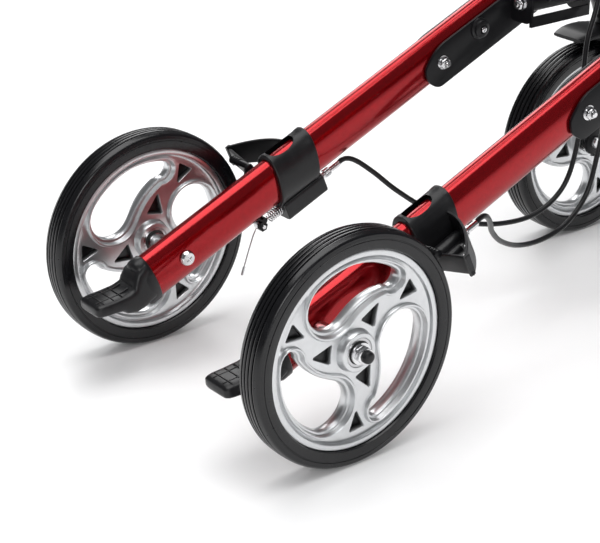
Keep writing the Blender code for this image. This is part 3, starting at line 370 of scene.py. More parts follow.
def pocket(turn, reach, size, point_out, grow):
    """A rounded triangular pocket's outline, its point towards or away from the hub."""
    outline = []
    for corner in range(3):
        aim = turn + (0 if point_out else math.pi) + corner * 2 * math.pi / 3
        tip = size * (1.25 if corner == 0 else 0.85)
        for bend in (-0.9, -0.3, 0.3, 0.9):
            outline.append((reach * math.cos(turn) + tip * math.cos(aim)
                            + (0.0011 + grow) * math.cos(aim + bend),
                            reach * math.sin(turn) + tip * math.sin(aim)
                            + (0.0011 + grow) * math.sin(aim + bend)))
    return outline


def loop(data, outline, depth):
    """A closed loop of edges at a depth; outline points are (forward, up) from the hub."""
    verts = [data.verts.new((depth, -across, up)) for across, up in outline]
    return [data.edges.new(pair) for pair in zip(verts, verts[1:] + verts[:1])]


def stepped(data, edges, outlines):
    """Bridge from a loop of edges through further outlines at their depths; give the last loop."""
    for outline, depth in outlines:
        fresh = loop(data, outline, depth)
        bmesh.ops.bridge_loops(data, edges=edges + fresh)
        edges = fresh
    return edges


def casting(turn):
    """Half a wheel's face with its openings, mirrored to the other face and closed."""
    data = bmesh.new()
    # Painted shade: this vertex layer flags the pocket floors so that the silver is drawn darker there, in
    # place of the shadow in the deep pockets.
    painted_pocket_shade = data.verts.layers.float.new("painted_pocket_shade")
    face_edges = loop(data, ring(WELL, 120), WEB)
    hub_edges = loop(data, ring(0.0185, 60), WEB)
    face_edges += hub_edges
    sunk = []
    for third in range(3):
        spin = turn + third * 2 * math.pi / 3
        lip = loop(data, comma(spin, 0.008), WEB)
        face_edges += lip
        sunk.append((spin, lip))
    holes = []
    for third in range(3):
        spin = turn + third * 2 * math.pi / 3
        for place, reach, size, out in ((math.radians(-85), 0.068, 0.0084, False),
                                        (math.radians(-64), 0.0284, 0.0095, True)):
            edge = loop(data, pocket(spin + place, reach, size, out, 0.0004), WEB)
            face_edges += edge
            holes.append((spin + place, reach, size, out, edge))
    bmesh.ops.triangle_fill(data, use_beauty=True, edges=face_edges)
    for spin, lip in sunk:
        steps = ((0.0074, WEB + 0.0024), (0.0066, WEB + 0.0031), (0.0052, WEB + 0.003),
                 (0.0044, WEB + 0.0018), (0.004, WEB - 0.0006), (0.0034, WEB - 0.0014),
                 (0.0014, WEB - 0.0016), (0.0005, WEB - 0.0026), (0.0, WEB - 0.004), (0.0, 0.0))
        stepped(data, lip, [(comma(spin, grow), depth) for grow, depth in steps])
    for place, reach, size, out, edge in holes:
        base = stepped(data, edge,
                       [(pocket(place, reach, size, out, 0.0), WEB - 0.0005),
                        (pocket(place, reach, size, out, -0.0004), 0.0006)])
        # Flag the pocket floor for painted shade.
        for rim_edge in base:
            rim_edge.verts[0][painted_pocket_shade] = rim_edge.verts[1][painted_pocket_shade] = 1.0
        bmesh.ops.triangle_fill(data, use_beauty=True, edges=base)
    hub_steps = ((0.0178, WEB + 0.0018), (0.0168, WEB + 0.006), (0.016, WEB + 0.0068),
                 (0.0128, WEB + 0.007), (0.0122, WEB + 0.0062), (0.0122, WEB + 0.004),
                 (0.0048, WEB + 0.0038), (0.0048, 0.0))
    stepped(data, hub_edges, [(ring(radius, 60), depth) for radius, depth in hub_steps])
    well_edges = [edge
                  for edge in face_edges if all(abs(math.hypot(v.co.y, v.co.z) - WELL) < 1e-5
                                                for v in edge.verts)]
    flange_steps = ((WELL + 0.0008, WEB + 0.0006), (RIM - 0.0058, WEB + 0.001),
                    (RIM - 0.005, FLANGE - 0.0006), (RIM - 0.0042, FLANGE - 0.0002), (RIM - 0.0012, FLANGE),
                    (RIM - 0.0003, FLANGE - 0.0004), (RIM - 0.0002, FLANGE - 0.002), (RIM - 0.0002, 0.0))
    stepped(data, well_edges, [(ring(radius, 120), depth) for radius, depth in flange_steps])
    half = data.verts[:] + data.edges[:] + data.faces[:]
    bmesh.ops.mirror(data, geom=half, axis="X", merge_dist=0.00002)
    bmesh.ops.remove_doubles(data, verts=data.verts, dist=0.00001)
    bmesh.ops.recalc_face_normals(data, faces=data.faces)
    return data


SILVER = surface("silver_lacquered_casting", (0.66, 0.67, 0.68), 0.95, 0.3, grain=1400, bump=0.012,
                 tint=0.03, coat=0.2, rough_spread=0.05)
# Painted shade: flagged pocket floors get the silver base colour cut to about a twentieth of its value, in
# place of the shadow in the deep narrow pockets.
nodes, links = SILVER.node_tree.nodes, SILVER.node_tree.links
deep = nodes.new("ShaderNodeAttribute")
deep.attribute_name = "painted_pocket_shade"
dim = settle(nodes.new("ShaderNodeMapRange"), To_Min=1.0, To_Max=0.05)
links.new(deep.outputs["Fac"], dim.inputs["Value"])
shade = nodes.new("ShaderNodeHueSaturation")
links.new(dim.outputs["Result"], shade.inputs["Value"])
links.new(nodes["Color Ramp"].outputs["Color"], shade.inputs["Color"])
links.new(shade.outputs["Color"], nodes["Principled BSDF"].inputs["Base Color"])
for side, turn in (("left", LEFT_TURN), ("right", RIGHT_TURN)):
    for axle in ("rear", "front"):
        hub = Vector(joints[f"{side}_{axle}_wheel_spin"]["pos_m"])
        wheel = casting(turn)
        bmesh.ops.translate(wheel, vec=hub, verts=wheel.verts)
        fit_on(f"{side}_{axle}_casting", wheel, SILVER, f"{side}_{axle}_wheel", [f"{side}_{axle}_rim"],
               smooth=38, twin=False)


# Tyres. Solid black rubber with a flat sidewall, a rounded shoulder and four grooves
# round the tread, stretched over the casting's flange.
TYRE = rear_hub.z


def tyre_profile(width, grooves):
    """The tyre's section: (radius, distance along the axle) points, closed."""
    half = width / 2
    crown = 0.003
    points = [(RIM + 0.0002, -half + 0.0016), (RIM + 0.0009, -half + 0.0004), (RIM + 0.0022, -half),
              (TYRE - 0.008, -half), (TYRE - 0.0077, -half + 0.0005), (TYRE - 0.007, -half + 0.0005),
              (TYRE - 0.0067, -half), (TYRE - 0.0052, -half), (TYRE - 0.0044, -half + 0.0003)]
    for i in range(6):
        angle = math.radians(8 + 60 * i / 5)
        points.append((TYRE - 0.0042 + 0.0032 * math.sin(angle), -half + 0.0042 - 0.004 * math.cos(angle)))
    tread = half - 0.0046
    pitch = 2 * tread / grooves
    for i in range(grooves):
        centre = -tread + pitch * (i + 0.5)
        for step, drop in ((-0.34, 0.0), (-0.17, 0.0002), (-0.11, 0.0018), (0.11, 0.0018), (0.17, 0.0002),
                           (0.34, 0.0)):
            along = centre + step * pitch
            points.append((TYRE - crown * 0.35 * (along / half) ** 2 - drop, along))
    points += [(radius, -along) for radius, along in reversed(points[:15])]
    return points


for axle, hub in (("rear", rear_hub), ("front", front_hub)):
    low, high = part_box(f"left_{axle}_tyre")
    ringed = turned(tyre_profile(high.x - low.x, 4), hub, X, 120, closed=True)
    fit_on(f"left_{axle}_tread", ringed, RUBBER, f"left_{axle}_wheel", [f"left_{axle}_tyre"],
           smooth=28)
    for face in (-1, 1):
        pips = bmesh.new()
        for i in range(8):
            angle = math.radians(20 + 45 * i)
            spot = hub + Vector((face * (high.x - low.x) / 2, math.cos(angle) * (TYRE + RIM) / 2,
                                 math.sin(angle) * (TYRE + RIM) / 2))
            pip = bmesh.ops.create_uvsphere(pips, u_segments=10, v_segments=6, radius=0.0007)["verts"]
            bmesh.ops.scale(pips, vec=(0.5, 1, 1), verts=pip)
            bmesh.ops.translate(pips, vec=spot, verts=pip)
        fit_on(f"left_{axle}_tyre_pips_{'inner' if face < 0 else 'outer'}", pips, RUBBER,
               f"left_{axle}_wheel", ())


# Axles and bearings. Each hub holds two sealed ball bearings; the rear wheels turn on a bolt
# through the leg with a chromed spacer, the front ones between the fork's blades.
def hexagon(across, count=24):
    """A nut's outline with rounded-off corners, in as many points as a round ring has."""
    points = []
    for i in range(count):
        angle = 2 * math.pi * i / count
        reach = across / math.cos((angle % (math.pi / 3)) - math.pi / 6)
        points.append(polar(min(reach, across * 1.12), angle))
    return points


def stacked(spot, axis, steps, data=None):
    """Loft rings along an axis: each step is (radius, distance), or has "hex" first for a nut."""
    axis = axis.normalized()
    one = axis.orthogonal().normalized()
    two = axis.cross(one)
    rings = []
    for *kind, size, along in steps:
        shape = hexagon(size) if kind else ring(size, 24)
        rings.append([spot + axis * along + one * a + two * b for a, b in shape])
    return lofted(rings, False, data)


def lock_nut(spot, axis, size, data=None, stub=0.0025):
    """A washer, a hexagon nut with its round locking collar and the bolt's end."""
    return stacked(spot, axis,
                   [(size * 2.25, 0), (size * 2.25, 0.0011), (size * 1.8, 0.0012),
                    ("hex", size * 1.62, 0.0013), ("hex", size * 1.7, 0.0018),
                    ("hex", size * 1.7, size * 1.5), (size * 1.6, size * 1.62), (size * 1.45, size * 1.95),
                    (size * 1.1, size * 2.05), (size * 0.98, size * 1.8), (size * 0.98, size * 2.0 + stub),
                    (size * 0.7, size * 2.2 + stub)], data)


def carved(data, tool):
    """Cut one closed body out of another with an exact Boolean, and give back the result."""
    pair = []
    for body in (data, tool):
        mesh = bpy.data.meshes.new("carving")
        body.to_mesh(mesh)
        body.free()
        pair.append(bpy.data.objects.new("carving", mesh))
        bpy.context.scene.collection.objects.link(pair[-1])
    step = pair[0].modifiers.new("cut", "BOOLEAN")
    step.operation = "DIFFERENCE"
    step.solver = "EXACT"
    step.object = pair[1]
    done = pair[0].evaluated_get(bpy.context.evaluated_depsgraph_get()).to_mesh()
    result = bmesh.new()
    result.from_mesh(done)
    for body in pair:
        bpy.data.objects.remove(body)
    return result


BEARING_STEEL = surface("ground_bearing_steel", (0.55, 0.55, 0.56), 1.0, 0.24, grain=900, bump=0.02)
SEAL = surface("bearing_seal", (0.03, 0.03, 0.03), 0.0, 0.45, grain=600)
BLACK_PLASTIC = surface("black_moulded_plastic", (0.008, 0.008, 0.009), 0.0, 0.34, grain=1000, bump=0.035,
                        index=1.4, tint=0.2, rough_spread=0.12)
BEARING_SEAT = 0.0106
for axle, hub in (("rear", rear_hub), ("front", front_hub)):
    races = bmesh.new()
    seals = bmesh.new()
    for face in (-1, 1):
        out = X * face
        for wide, bore, end in ((0.0122, 0.0101, 0.0126), (0.0072, 0.0043, 0.0128)):
            race = [(wide, BEARING_SEAT), (wide, end), (bore, end), (bore, BEARING_SEAT)]
            turned(race, hub, out, 48, True, races)
        seal = [(0.0102, BEARING_SEAT), (0.0102, 0.0118), (0.0087, 0.0121), (0.0071, 0.0118),
                (0.0071, BEARING_SEAT)]
        turned(seal, hub, out, 48, True, seals)
    fit_on(f"left_{axle}_bearing_races", races, BEARING_STEEL, f"left_{axle}_wheel", ())
    fit_on(f"left_{axle}_bearing_seals", seals, SEAL, f"left_{axle}_wheel", ())

leg_inside = FRAME_INNER - rear_hub.x
PLATE_SEAT = 0.0128
leg_face = FRAME_X + PLATE_SEAT - rear_hub.x
bolt = stacked(rear_hub, X,
               [(0.003, leg_inside - 0.0043), (0.0056, leg_inside - 0.004), (0.007, leg_inside - 0.002),
                (0.0072, leg_inside - 0.0004), (0.004, leg_inside - 0.0003), (0.004, leg_face),
                (0.0085, leg_face + 0.0001), (0.0085, -0.016), (0.0068, -0.0145), (0.004, -0.0144),
                (0.004, 0.0142), (0.0092, 0.0143), (0.0092, 0.0156), (0.0066, 0.0157),
                ("hex", 0.0062, 0.0158), ("hex", 0.0066, 0.0163), ("hex", 0.0066, 0.0205), (0.006, 0.0211),
                (0.003, 0.0212)])
head = rear_hub + X * (leg_inside - 0.0044)
for slot in (Vector((0, 0.6, 0.8)), Vector((0, -0.8, 0.6))):
    bolt = carved(bolt,
                  swept([head - slot * 0.003, head + slot * 0.003], oval(0.0017, 0.0007, 16, 8),
                        up=slot.cross(X)))
fit_on("left_rear_axle_bolt", bolt, CHROME, "left_frame", ["left_rear_axle"], smooth=28)
cap = stacked(rear_hub, X,
              [(0.0052, 0.0206), (0.0055, 0.0212), (0.0053, 0.0245), (0.0048, 0.0258), (0.0036, 0.0266),
               (0.0018, 0.0269)])
fit_on("left_rear_axle_cap", cap, BLACK_PLASTIC, "left_frame", (), smooth=50)
face = 0.0233
front_bolt = stacked(front_hub, X,
                     [(0.0026, -face - 0.0048), (0.0058, -face - 0.0044), (0.0068, -face - 0.002),
                      (0.0068, -face), (0.004, -face + 0.0001), (0.004, -0.0187), (0.007, -0.0186),
                      (0.007, -0.0145), (0.004, -0.0144), (0.004, 0.0144), (0.007, 0.0145), (0.007, 0.0186),
                      (0.004, 0.0187), (0.004, face - 0.0001), ("hex", 0.0062, face),
                      ("hex", 0.0062, face + 0.0042), (0.0056, face + 0.0048), (0.004, face + 0.006)])
fit_on("left_front_axle_bolt", front_bolt, CHROME, "left_caster", ["left_front_axle"],
       smooth=28)


# Legs and uprights. Oval aluminium tube, 1.5 mm wall, sprayed in clear red lacquer over a silver
# ground; each leg is drilled for the axle bolt and clamped to its upright by two plates.
RED = surface("red_lacquer", (0.32, 0.002, 0.006), 0.8, 0.19, grain=2600, bump=0.006, tint=0.1, coat=0.35,
              rough_spread=0.05)
LEG_TAIL = 0.034
LEG_FRONT = 0.5271
UPRIGHT_TOP = 0.523
SQUARENESS = 2.25
TUBE_WALL = 0.0015


def leg_ring(along, grow=0.0, slant=0.0):
    """The leg tube's outline at a place along it, grown outwards; slant cuts it obliquely."""
    return [leg_spot(along + slant * b, b, FRAME_X + a)
            for a, b in oval(TUBE_HALF + grow, LEG_HALF + grow, 64, SQUARENESS)]


def upright_ring(along, grow=0.0):
    return [upright_spot(along, b, FRAME_X + a)
            for a, b in oval(TUBE_HALF + grow, UPRIGHT_HALF + grow, 64, SQUARENESS)]


tube = lofted([leg_ring(-LEG_TAIL), leg_ring(LEG_FRONT), leg_ring(LEG_FRONT, -TUBE_WALL),
               leg_ring(-LEG_TAIL, -TUBE_WALL)], closed=True)
fit_on("left_leg_tube", tube, RED, "left_frame", ["left_leg"], smooth=40)
tube = lofted([upright_ring(0.048), upright_ring(UPRIGHT_TOP), upright_ring(UPRIGHT_TOP, -TUBE_WALL),
               upright_ring(0.048, -TUBE_WALL)], closed=True)
fit_on("left_upright_tube", tube, RED, "left_frame", ["left_upright"], smooth=40)


# Tip levers. One black moulding per leg: a plug and cap that close the tube's rear end, and a
# pedal with a raised grid of grip lines that the user steps on to tip the frame over a kerb.
plug = ((0.016, -0.0019), (-0.0002, -0.0019), (-0.0003, 0.0006), (-0.0012, 0.0013), (-0.0095, 0.0013),
        (-0.012, 0.0004), (-0.0134, -0.002), (-0.014, -0.006))
lever = lofted([leg_ring(-LEG_TAIL + along, grow) for along, grow in plug])
pedal = [(-0.036, 0.002, 0.0185, 0.0122), (-0.044, 0.0015, 0.0172, 0.0136),
         (-0.049, -0.0008, 0.0148, 0.0146), (-0.055, -0.003, 0.0122, 0.0155),
         (-0.062, -0.0025, 0.0114, 0.0162), (-0.068, 0.0, 0.0096, 0.0165), (-0.073, 0.0035, 0.007, 0.0166),
         (-0.081, 0.0065, 0.0062, 0.0166), (-0.09, 0.0098, 0.006, 0.0164),
         (-0.0945, 0.0114, 0.0056, 0.0157), (-0.097, 0.0122, 0.0048, 0.0145),
         (-0.098, 0.0125, 0.003, 0.0118)]
swept([leg_spot(along, above) for along, above, *_ in pedal],
      lambda i: oval(pedal[i][3], pedal[i][2], 48, 5.0), up=LEG_UP, data=lever)
fit_on("left_tip_pedal", lever, BLACK_PLASTIC, "left_frame", ["left_tip_lever"], smooth=50)
ridges = bmesh.new()
for along, above in ((-0.07, 0.0099), (-0.0785, 0.0119), (-0.088, 0.0151)):
    ends = [leg_spot(along, above, FRAME_X + reach) for reach in (-0.0125, -0.0117, 0.0117, 0.0125)]
    swept(ends, lambda i: ring(0.0009 if i in (1, 2) else 0.0004, 12), data=ridges)
for reach in (-0.0065, 0.0065):
    swept([leg_spot(along, above, FRAME_X + reach)
           for along, above in ((-0.06, 0.0089), (-0.068, 0.0095), (-0.073, 0.0104), (-0.081, 0.0126),
                                (-0.0925, 0.0166))], ring(0.0008, 12), data=ridges)
fit_on("left_pedal_ridges", ridges, BLACK_PLASTIC, "left_frame", (), smooth=60)


# Brake sleeves. Black moulded sleeves clipped round each leg ahead of the wheel: lipped ends, an
# open window on top, a channel for the wire below and a triangular bracket out to the tyre.
SLEEVE_REAR = 0.111
SLANT = 0.168
LIP = 0.0045
lips = ((SLEEVE_REAR, 0.0003), (SLEEVE_REAR, 0.0036), (SLEEVE_REAR + 0.0007, LIP),
        (SLEEVE_REAR + 0.0042, LIP), (SLEEVE_REAR + 0.0056, 0.0041), (SLEEVE_FRONT - 0.0056, 0.0041),
        (SLEEVE_FRONT - 0.0042, LIP), (SLEEVE_FRONT - 0.0007, LIP), (SLEEVE_FRONT, 0.0036),
        (SLEEVE_FRONT, 0.0003))
sleeve = lofted([leg_ring(along, grow, SLANT) for along, grow in lips], closed=True)
middle = (SLEEVE_REAR + SLEEVE_FRONT) / 2
shapes = [[leg_spot(middle + b - 0.001, above, FRAME_X + a)
           for a, b in oval(0.0088 * wide, 0.0138 * wide, 40, 2.6)]
          for above, wide in ((0.008, 1.0), (0.0245, 1.0), (0.0262, 1.08), (0.045, 1.1))]
sleeve = carved(sleeve, lofted(shapes))
channel_steps = ((SLEEVE_REAR - 0.002, 0.0122, 0.0088, 7), (SLEEVE_REAR - 0.0012, 0.0128, 0.0094, 7),
                 (SLEEVE_FRONT - 0.001, 0.0128, 0.0094, 7), (SLEEVE_FRONT - 0.0002, 0.0122, 0.0088, 7),
                 (SLEEVE_FRONT - 0.0001, 0.005, 0.005, 2), (SLEEVE_REAR - 0.0021, 0.005, 0.005, 2))
channel = [[leg_spot(along, b - 0.0305, FRAME_X + a) for a, b in oval(wide, deep, 48, power)]
           for along, wide, deep, power in channel_steps]
lofted(channel, True, sleeve)
root = FRAME_X + 0.014
reach = rear_hub.x + 0.0195
WALL = 0.0014
TIP = SLEEVE_REAR + 0.008
rear_wall = [leg_spot(SLEEVE_REAR + 0.003 + (TIP - SLEEVE_REAR - 0.003) * i / 8, -0.012 + 0.0135 * i / 8,
                      root + (reach - root) * i / 8) for i in range(9)]
swept(rear_wall, oval(WALL, 0.0092, 24, 7), up=LEG_UP, data=sleeve)
front_wall = []
for i in range(13):
    t = i / 12
    front_wall.append(leg_spot(SLEEVE_FRONT - 0.007 + (TIP - SLEEVE_FRONT + 0.007) * t ** 1.7,
                               -0.003 + 0.0045 * t, root + (reach - root) * t ** 0.8))
swept(front_wall, lambda i: oval(WALL, 0.0165 - 0.0055 * i / 12, 24, 7), up=LEG_UP, data=sleeve)
swept([leg_spot(TIP - 0.0022, 0.0015, reach), leg_spot(TIP + 0.0024, 0.0015, reach)],
      oval(0.0015, 0.0108, 24, 7), up=LEG_UP, data=sleeve)
for distance, start, end, size in ((0.023, 0.003, 0.04, 0.0068), (0.035, 0.01, 0.027, 0.005)):
    swept([leg_spot(SLEEVE_REAR + start, -0.01, FRAME_X + distance),
           leg_spot(SLEEVE_REAR + end, -0.01, FRAME_X + distance)], ring(size, 32), data=sleeve)
fit_on("left_sleeve_moulding", sleeve, BLACK_PLASTIC, "left_frame", ["left_brake_sleeve"],
       smooth=34)
post = leg_spot(SLEEVE_REAR + 0.0024, -0.01, FRAME_X + 0.0235)
screw = stacked(post, -LEG_AXIS, [(0.003, -0.002), (0.003, 0.001), (0.0024, 0.0018)])
fit_on("left_bracket_pin", screw, CHROME, "left_frame", (), smooth=40)


# Barrel adjusters, return springs and wires. A knurled chromed barrel with a lock nut screws into
# each sleeve; behind it the bare wire passes a coil spring and a clamp, and ends in a crimp.
def knurled(radius, teeth=18, depth=0.08):
    count = teeth * 2
    return [polar(radius * (1 - depth * (i % 2)), 2 * math.pi * i / count) for i in range(count)]


start = leg_spot(SLEEVE_FRONT + 0.0003, -WIRE_DROP)
barrel = swept([start + LEG_AXIS * d for d in (0.0072, 0.0078, 0.0132, 0.0138)],
               lambda i: knurled(0.0044 if i in (1, 2) else 0.0039))
swept([start, start + LEG_AXIS * 0.018], ring(0.0029, 24), data=barrel)
stacked(start, LEG_AXIS,
        [("hex", 0.0044, 0.0006), ("hex", 0.0047, 0.001), ("hex", 0.0047, 0.0036), ("hex", 0.0044, 0.004)],
        barrel)
fit_on("left_barrel_adjuster", barrel, CHROME, "left_frame", ["left_adjuster"], smooth=30)

spring_front = leg_spot(SLEEVE_REAR + 0.004, -WIRE_DROP)
turns, steps = 8, 14
coil = []
for i in range(turns * steps + 1):
    part = i / (turns * steps)
    angle = 2 * math.pi * turns * part
    coil.append(spring_front - LEG_AXIS * (0.019 * part) + X * 0.0044 * math.cos(angle)
                + LEG_UP * 0.0044 * math.sin(angle))
fit_on("left_return_spring", swept(coil, ring(0.0007, 8)), CHROME, "left_frame", ["left_brake_spring"],
       smooth=60)

tail = smoothed([leg_spot(*place)
                 for place in ((0.115, -WIRE_DROP), (0.098, -WIRE_DROP), (0.083, -WIRE_DROP),
                               (0.076, -0.0345), (0.069, -0.041), (0.062, -0.0482), (0.0555, -0.055),
                               (0.049, -0.0622))], 0.002)
wires = fit_on("left_brake_wire", swept(tail, ring(0.0008, 10)), CHROME, "left_frame", (),
               smooth=60)
crimps = fit_on("left_wire_crimp", swept([tail[-4], tail[-1] * 2 - tail[-2]], ring(0.0014, 16)), CHROME,
                "left_frame", ())
for side, wire, crimp in zip((1, -1), wires, crimps):
    path = [Vector((point.x * side, point.y, point.z)) for point in tail]


# Brake arms. Black steel arms pivot under the legs; the clamp screw on the shaft grips the wire
# and the ribbed shoe bar at the other end is drawn back against the tread.
BLACK_STEEL = surface("black_powder_coated_steel", (0.006, 0.006, 0.007), 0.0, 0.3, grain=1500, bump=0.015,
                      index=1.28, tint=0.05, coat=0.06, rough_spread=0.03)


def slab(points, x_low, x_high, edge, data=None):
    """A side-view outline drawn out sideways to a thickness, with its rims rounded."""
    data = data or bmesh.new()
    face = data.faces.new([data.verts.new((x_low, point.y, point.z)) for point in points])
    drawn = bmesh.ops.extrude_face_region(data, geom=[face])["geom"]
    moved = [item for item in drawn if isinstance(item, bmesh.types.BMVert)]
    bmesh.ops.translate(data, vec=(x_high - x_low, 0, 0), verts=moved)
    other = [item for item in drawn if isinstance(item, bmesh.types.BMFace)][0]
    rims = list(face.edges) + list(other.edges)
    bmesh.ops.recalc_face_normals(data, faces=data.faces)
    bmesh.ops.bevel(data, geom=rims, offset=edge, segments=2, profile=0.5, affect="EDGES", material=-1)
    return data


def rounded(corners, radius, steps=5):
    """Flat corner points with every corner turned into an arc of about the given radius."""
    points = []
    count = len(corners)
    for i, corner in enumerate(corners):
        corner = Vector(corner)
        before, after = Vector(corners[i - 1]) - corner, Vector(corners[(i + 1) % count]) - corner
        cut = min(radius, before.length * 0.45, after.length * 0.45)
        first, last = corner + before.normalized() * cut, corner + after.normalized() * cut
        for step in range(steps + 1):
            t = step / steps
            points.append(first * (1 - t) ** 2 + corner * 2 * t * (1 - t) + last * t ** 2)
    return points


PIVOT_ALONG = 0.088
PIVOT_DROP = 0.0265
SHOE_ALONG = 0.108
side_x = FRAME_X + 0.019
arm = swept([leg_spot(PIVOT_ALONG, -PIVOT_DROP, FRAME_X - 0.006),
             leg_spot(PIVOT_ALONG, -PIVOT_DROP, side_x + 0.003)], ring(0.003, 24))
corners = [(0.083, -0.0305), (0.093, -0.0305), (0.107, -0.012), (0.1115, 0.0085), (0.1105, 0.016),
           (0.1035, 0.016), (0.083, -0.0215)]
slab([leg_spot(*point) for point in rounded(corners, 0.0035)], side_x, side_x + 0.003, 0.0006, arm)
shoe = [leg_spot(SHOE_ALONG, 0.012, side_x + 0.0015)]
for i in range(4):
    for step in (0.0006, 0.0012, 0.0036, 0.0042):
        shoe.append(leg_spot(SHOE_ALONG, 0.012, rear_hub.x - 0.0145 + 0.0032 * i + step * 0.75))
swept(shoe, lambda i: ring(0.004 if i and (i - 1) % 4 in (1, 2) else 0.0032, 20), data=arm)
fit_on("left_brake_crank", arm, BLACK_STEEL, "left_brake", ["left_brake_arm"], smooth=34)
clamp = stacked(leg_spot(PIVOT_ALONG - 0.0035, -WIRE_DROP, FRAME_X - 0.0062), X,
                [(0.0017, -0.0014), (0.002, -0.001), (0.002, 0.0034), (0.0049, 0.0035), (0.0049, 0.005),
                 ("hex", 0.0042, 0.0051), ("hex", 0.0042, 0.0098), (0.0026, 0.01), (0.0026, 0.0128)])
fit_on("left_wire_clamp", clamp, CHROME, "left_brake", (), smooth=34)
nut = stacked(leg_spot(PIVOT_ALONG - 0.0035, -WIRE_DROP, FRAME_X - 0.0062), X,
              [("hex", 0.004, 0.0), ("hex", 0.0044, 0.0005), ("hex", 0.0044, 0.0034)])
fit_on("left_clamp_nut", nut, BLACK_STEEL, "left_brake", (), smooth=34)


# Joining plates. Two 3 mm black steel plates clamp each leg to its upright with bolts and lock
# nuts; the inner one carries the bracket that the scissor turns on.
PLATE_REAR = 0.308
MEETING = 0.5501
PLATE = 0.003
plate_low = -0.024
plate_front = MEETING + 0.021
corners = [(PLATE_REAR - 0.001, plate_low), (PLATE_REAR - 0.01, plate_low + 0.013),
           (PLATE_REAR - 0.009, 0.002), (PLATE_REAR + 0.012, 0.015), (plate_front - 0.06, 0.014),
           (plate_front - 0.042, 0.043), (plate_front - 0.004, 0.044), (plate_front + 0.001, 0.034),
           (plate_front + 0.001, -0.018), (plate_front - 0.01, plate_low)]
plate = rounded(corners, 0.016, 7)
outer_face = FRAME_X + PLATE_SEAT
inner_face = FRAME_X - PLATE_SEAT
fit_on("left_outer_joint_plate",
       slab([leg_spot(*point) for point in plate], outer_face, outer_face + PLATE, 0.0006), BLACK_STEEL,
       "left_frame", ["left_outer_plate"], smooth=34)
inner = slab([leg_spot(*point) for point in plate], inner_face - PLATE, inner_face, 0.0006)
PIVOT = Vector(joints["fold"]["pos_m"])
ear_front = rear_hub.y - 0.383
ear_span = 0.0806
for near in (ear_front, ear_front - ear_span + 0.003):
    ear = rounded([(PIVOT.x - 0.013, PIVOT.z - 0.02), (PIVOT.x - 0.013, PIVOT.z + 0.012),
                   (inner_face - 0.001, PIVOT.z + 0.012), (inner_face - 0.001, PIVOT.z - 0.02)], 0.008)
    lofted([[Vector((x, y, z)) for x, z in ear] for y in (near, near - PLATE)], False, inner)
floor_low = [(PIVOT.x - 0.0133, PIVOT.z - 0.0225), (PIVOT.x - 0.0103, PIVOT.z - 0.0225),
             (PIVOT.x - 0.0103, PIVOT.z - 0.0125), (PIVOT.x - 0.0133, PIVOT.z - 0.0125)]
lofted([[Vector((x, y, z)) for x, z in floor_low]
        for y in (ear_front - 0.0005, ear_front - ear_span + 0.0005)], False, inner)
fit_on("left_inner_joint_plate", inner, BLACK_STEEL, "left_frame", ["left_inner_plate"],
       smooth=34)
hardware = bmesh.new()
for along, above in ((0.3205, -0.0018), (0.47, -0.005), (MEETING, 0.03), (MEETING - 0.004, -0.012)):
    lock_nut(leg_spot(along, above, inner_face - PLATE), -X, 0.003, hardware)
    lock_nut(leg_spot(along, above, outer_face + PLATE), X, 0.003, hardware)
pivot_rear = Vector((PIVOT.x, ear_front + 0.0003, PIVOT.z))
lock_nut(pivot_rear, Y, 0.0034, hardware, 0.001)
stacked(Vector((PIVOT.x, ear_front - ear_span - 0.0003, PIVOT.z)), -Y,
        [("hex", 0.0066, 0), ("hex", 0.007, 0.0005), ("hex", 0.007, 0.0042), ("hex", 0.0064, 0.0048)],
        hardware)
swept([pivot_rear, Vector((PIVOT.x, ear_front - ear_span, PIVOT.z))], ring(0.0039, 24), data=hardware)
fit_on("left_plate_hardware", hardware, CHROME, "left_frame", ["left_pivot_bolt"],
       smooth=28)
boss = stacked(leg_spot(0.3725, 0.0035, inner_face - PLATE), -X,
               [(0.0105, 0), (0.0105, 0.0016), (0.0085, 0.0026), (0.0085, 0.0052), (0.007, 0.006),
                (0.0045, 0.0062), (0.0045, 0.005)])
fit_on("left_plate_boss", boss, BLACK_PLASTIC, "left_frame", (), smooth=34)
boss_pin = stacked(leg_spot(0.3725, 0.0035, inner_face - 0.008), -X,
                   [(0.003, 0), (0.003, 0.0026), (0.0022, 0.0032)])
fit_on("left_boss_pin", boss_pin, CHROME, "left_frame", (), smooth=40)


# Casters. Each front wheel runs in a black steel fork: a crown arched over the tyre like a short
# mudguard, two flat blades and a stem that turns in the moulded head under the upright.
HEAD_BASE = STEM.z + 0.0006
arch = 0.1148
crown = []
for i in range(17):
    angle = math.radians(-14 + 54 * i / 16)
    crown.append(Vector((FRAME_X, front_hub.y - arch * math.sin(angle),
                         front_hub.z + arch * math.cos(angle))))
fork = swept(crown,
             lambda i: oval(0.023 - 0.004 * (abs(i - 8) / 8) ** 4, 0.0042 - 0.0022 * (abs(i - 8) / 8) ** 6,
                            48, 4.5), up=Z)
stem = Vector((FRAME_X, STEM.y, 0))
stacked(stem, Z,
        [(0.017, 0.2095), (0.0165, 0.219), (0.015, STEM.z), (0.008, STEM.z + 0.0001),
         (0.008, HEAD_BASE + 0.028)], fork)
crown_under = STEM.z - 0.012
for side in (-1, 1):
    near, far = FRAME_X + side * 0.019, FRAME_X + side * 0.023
    hub_end = [(front_hub.y - 0.0135 * math.cos(math.radians(a)),
                front_hub.z + 0.0135 * math.sin(math.radians(a))) for a in range(150, 361, 15)]
    hub_end += [(STEM.y - 0.02, crown_under - 0.02), (STEM.y - 0.018, crown_under),
                (STEM.y + 0.025, crown_under + 0.006)]
    slab([Vector((0, y, z)) for y, z in hub_end], min(near, far), max(near, far), 0.0008, fork)
fit_on("left_caster_fork", fork, BLACK_STEEL, "left_caster", ["left_fork"], smooth=34)


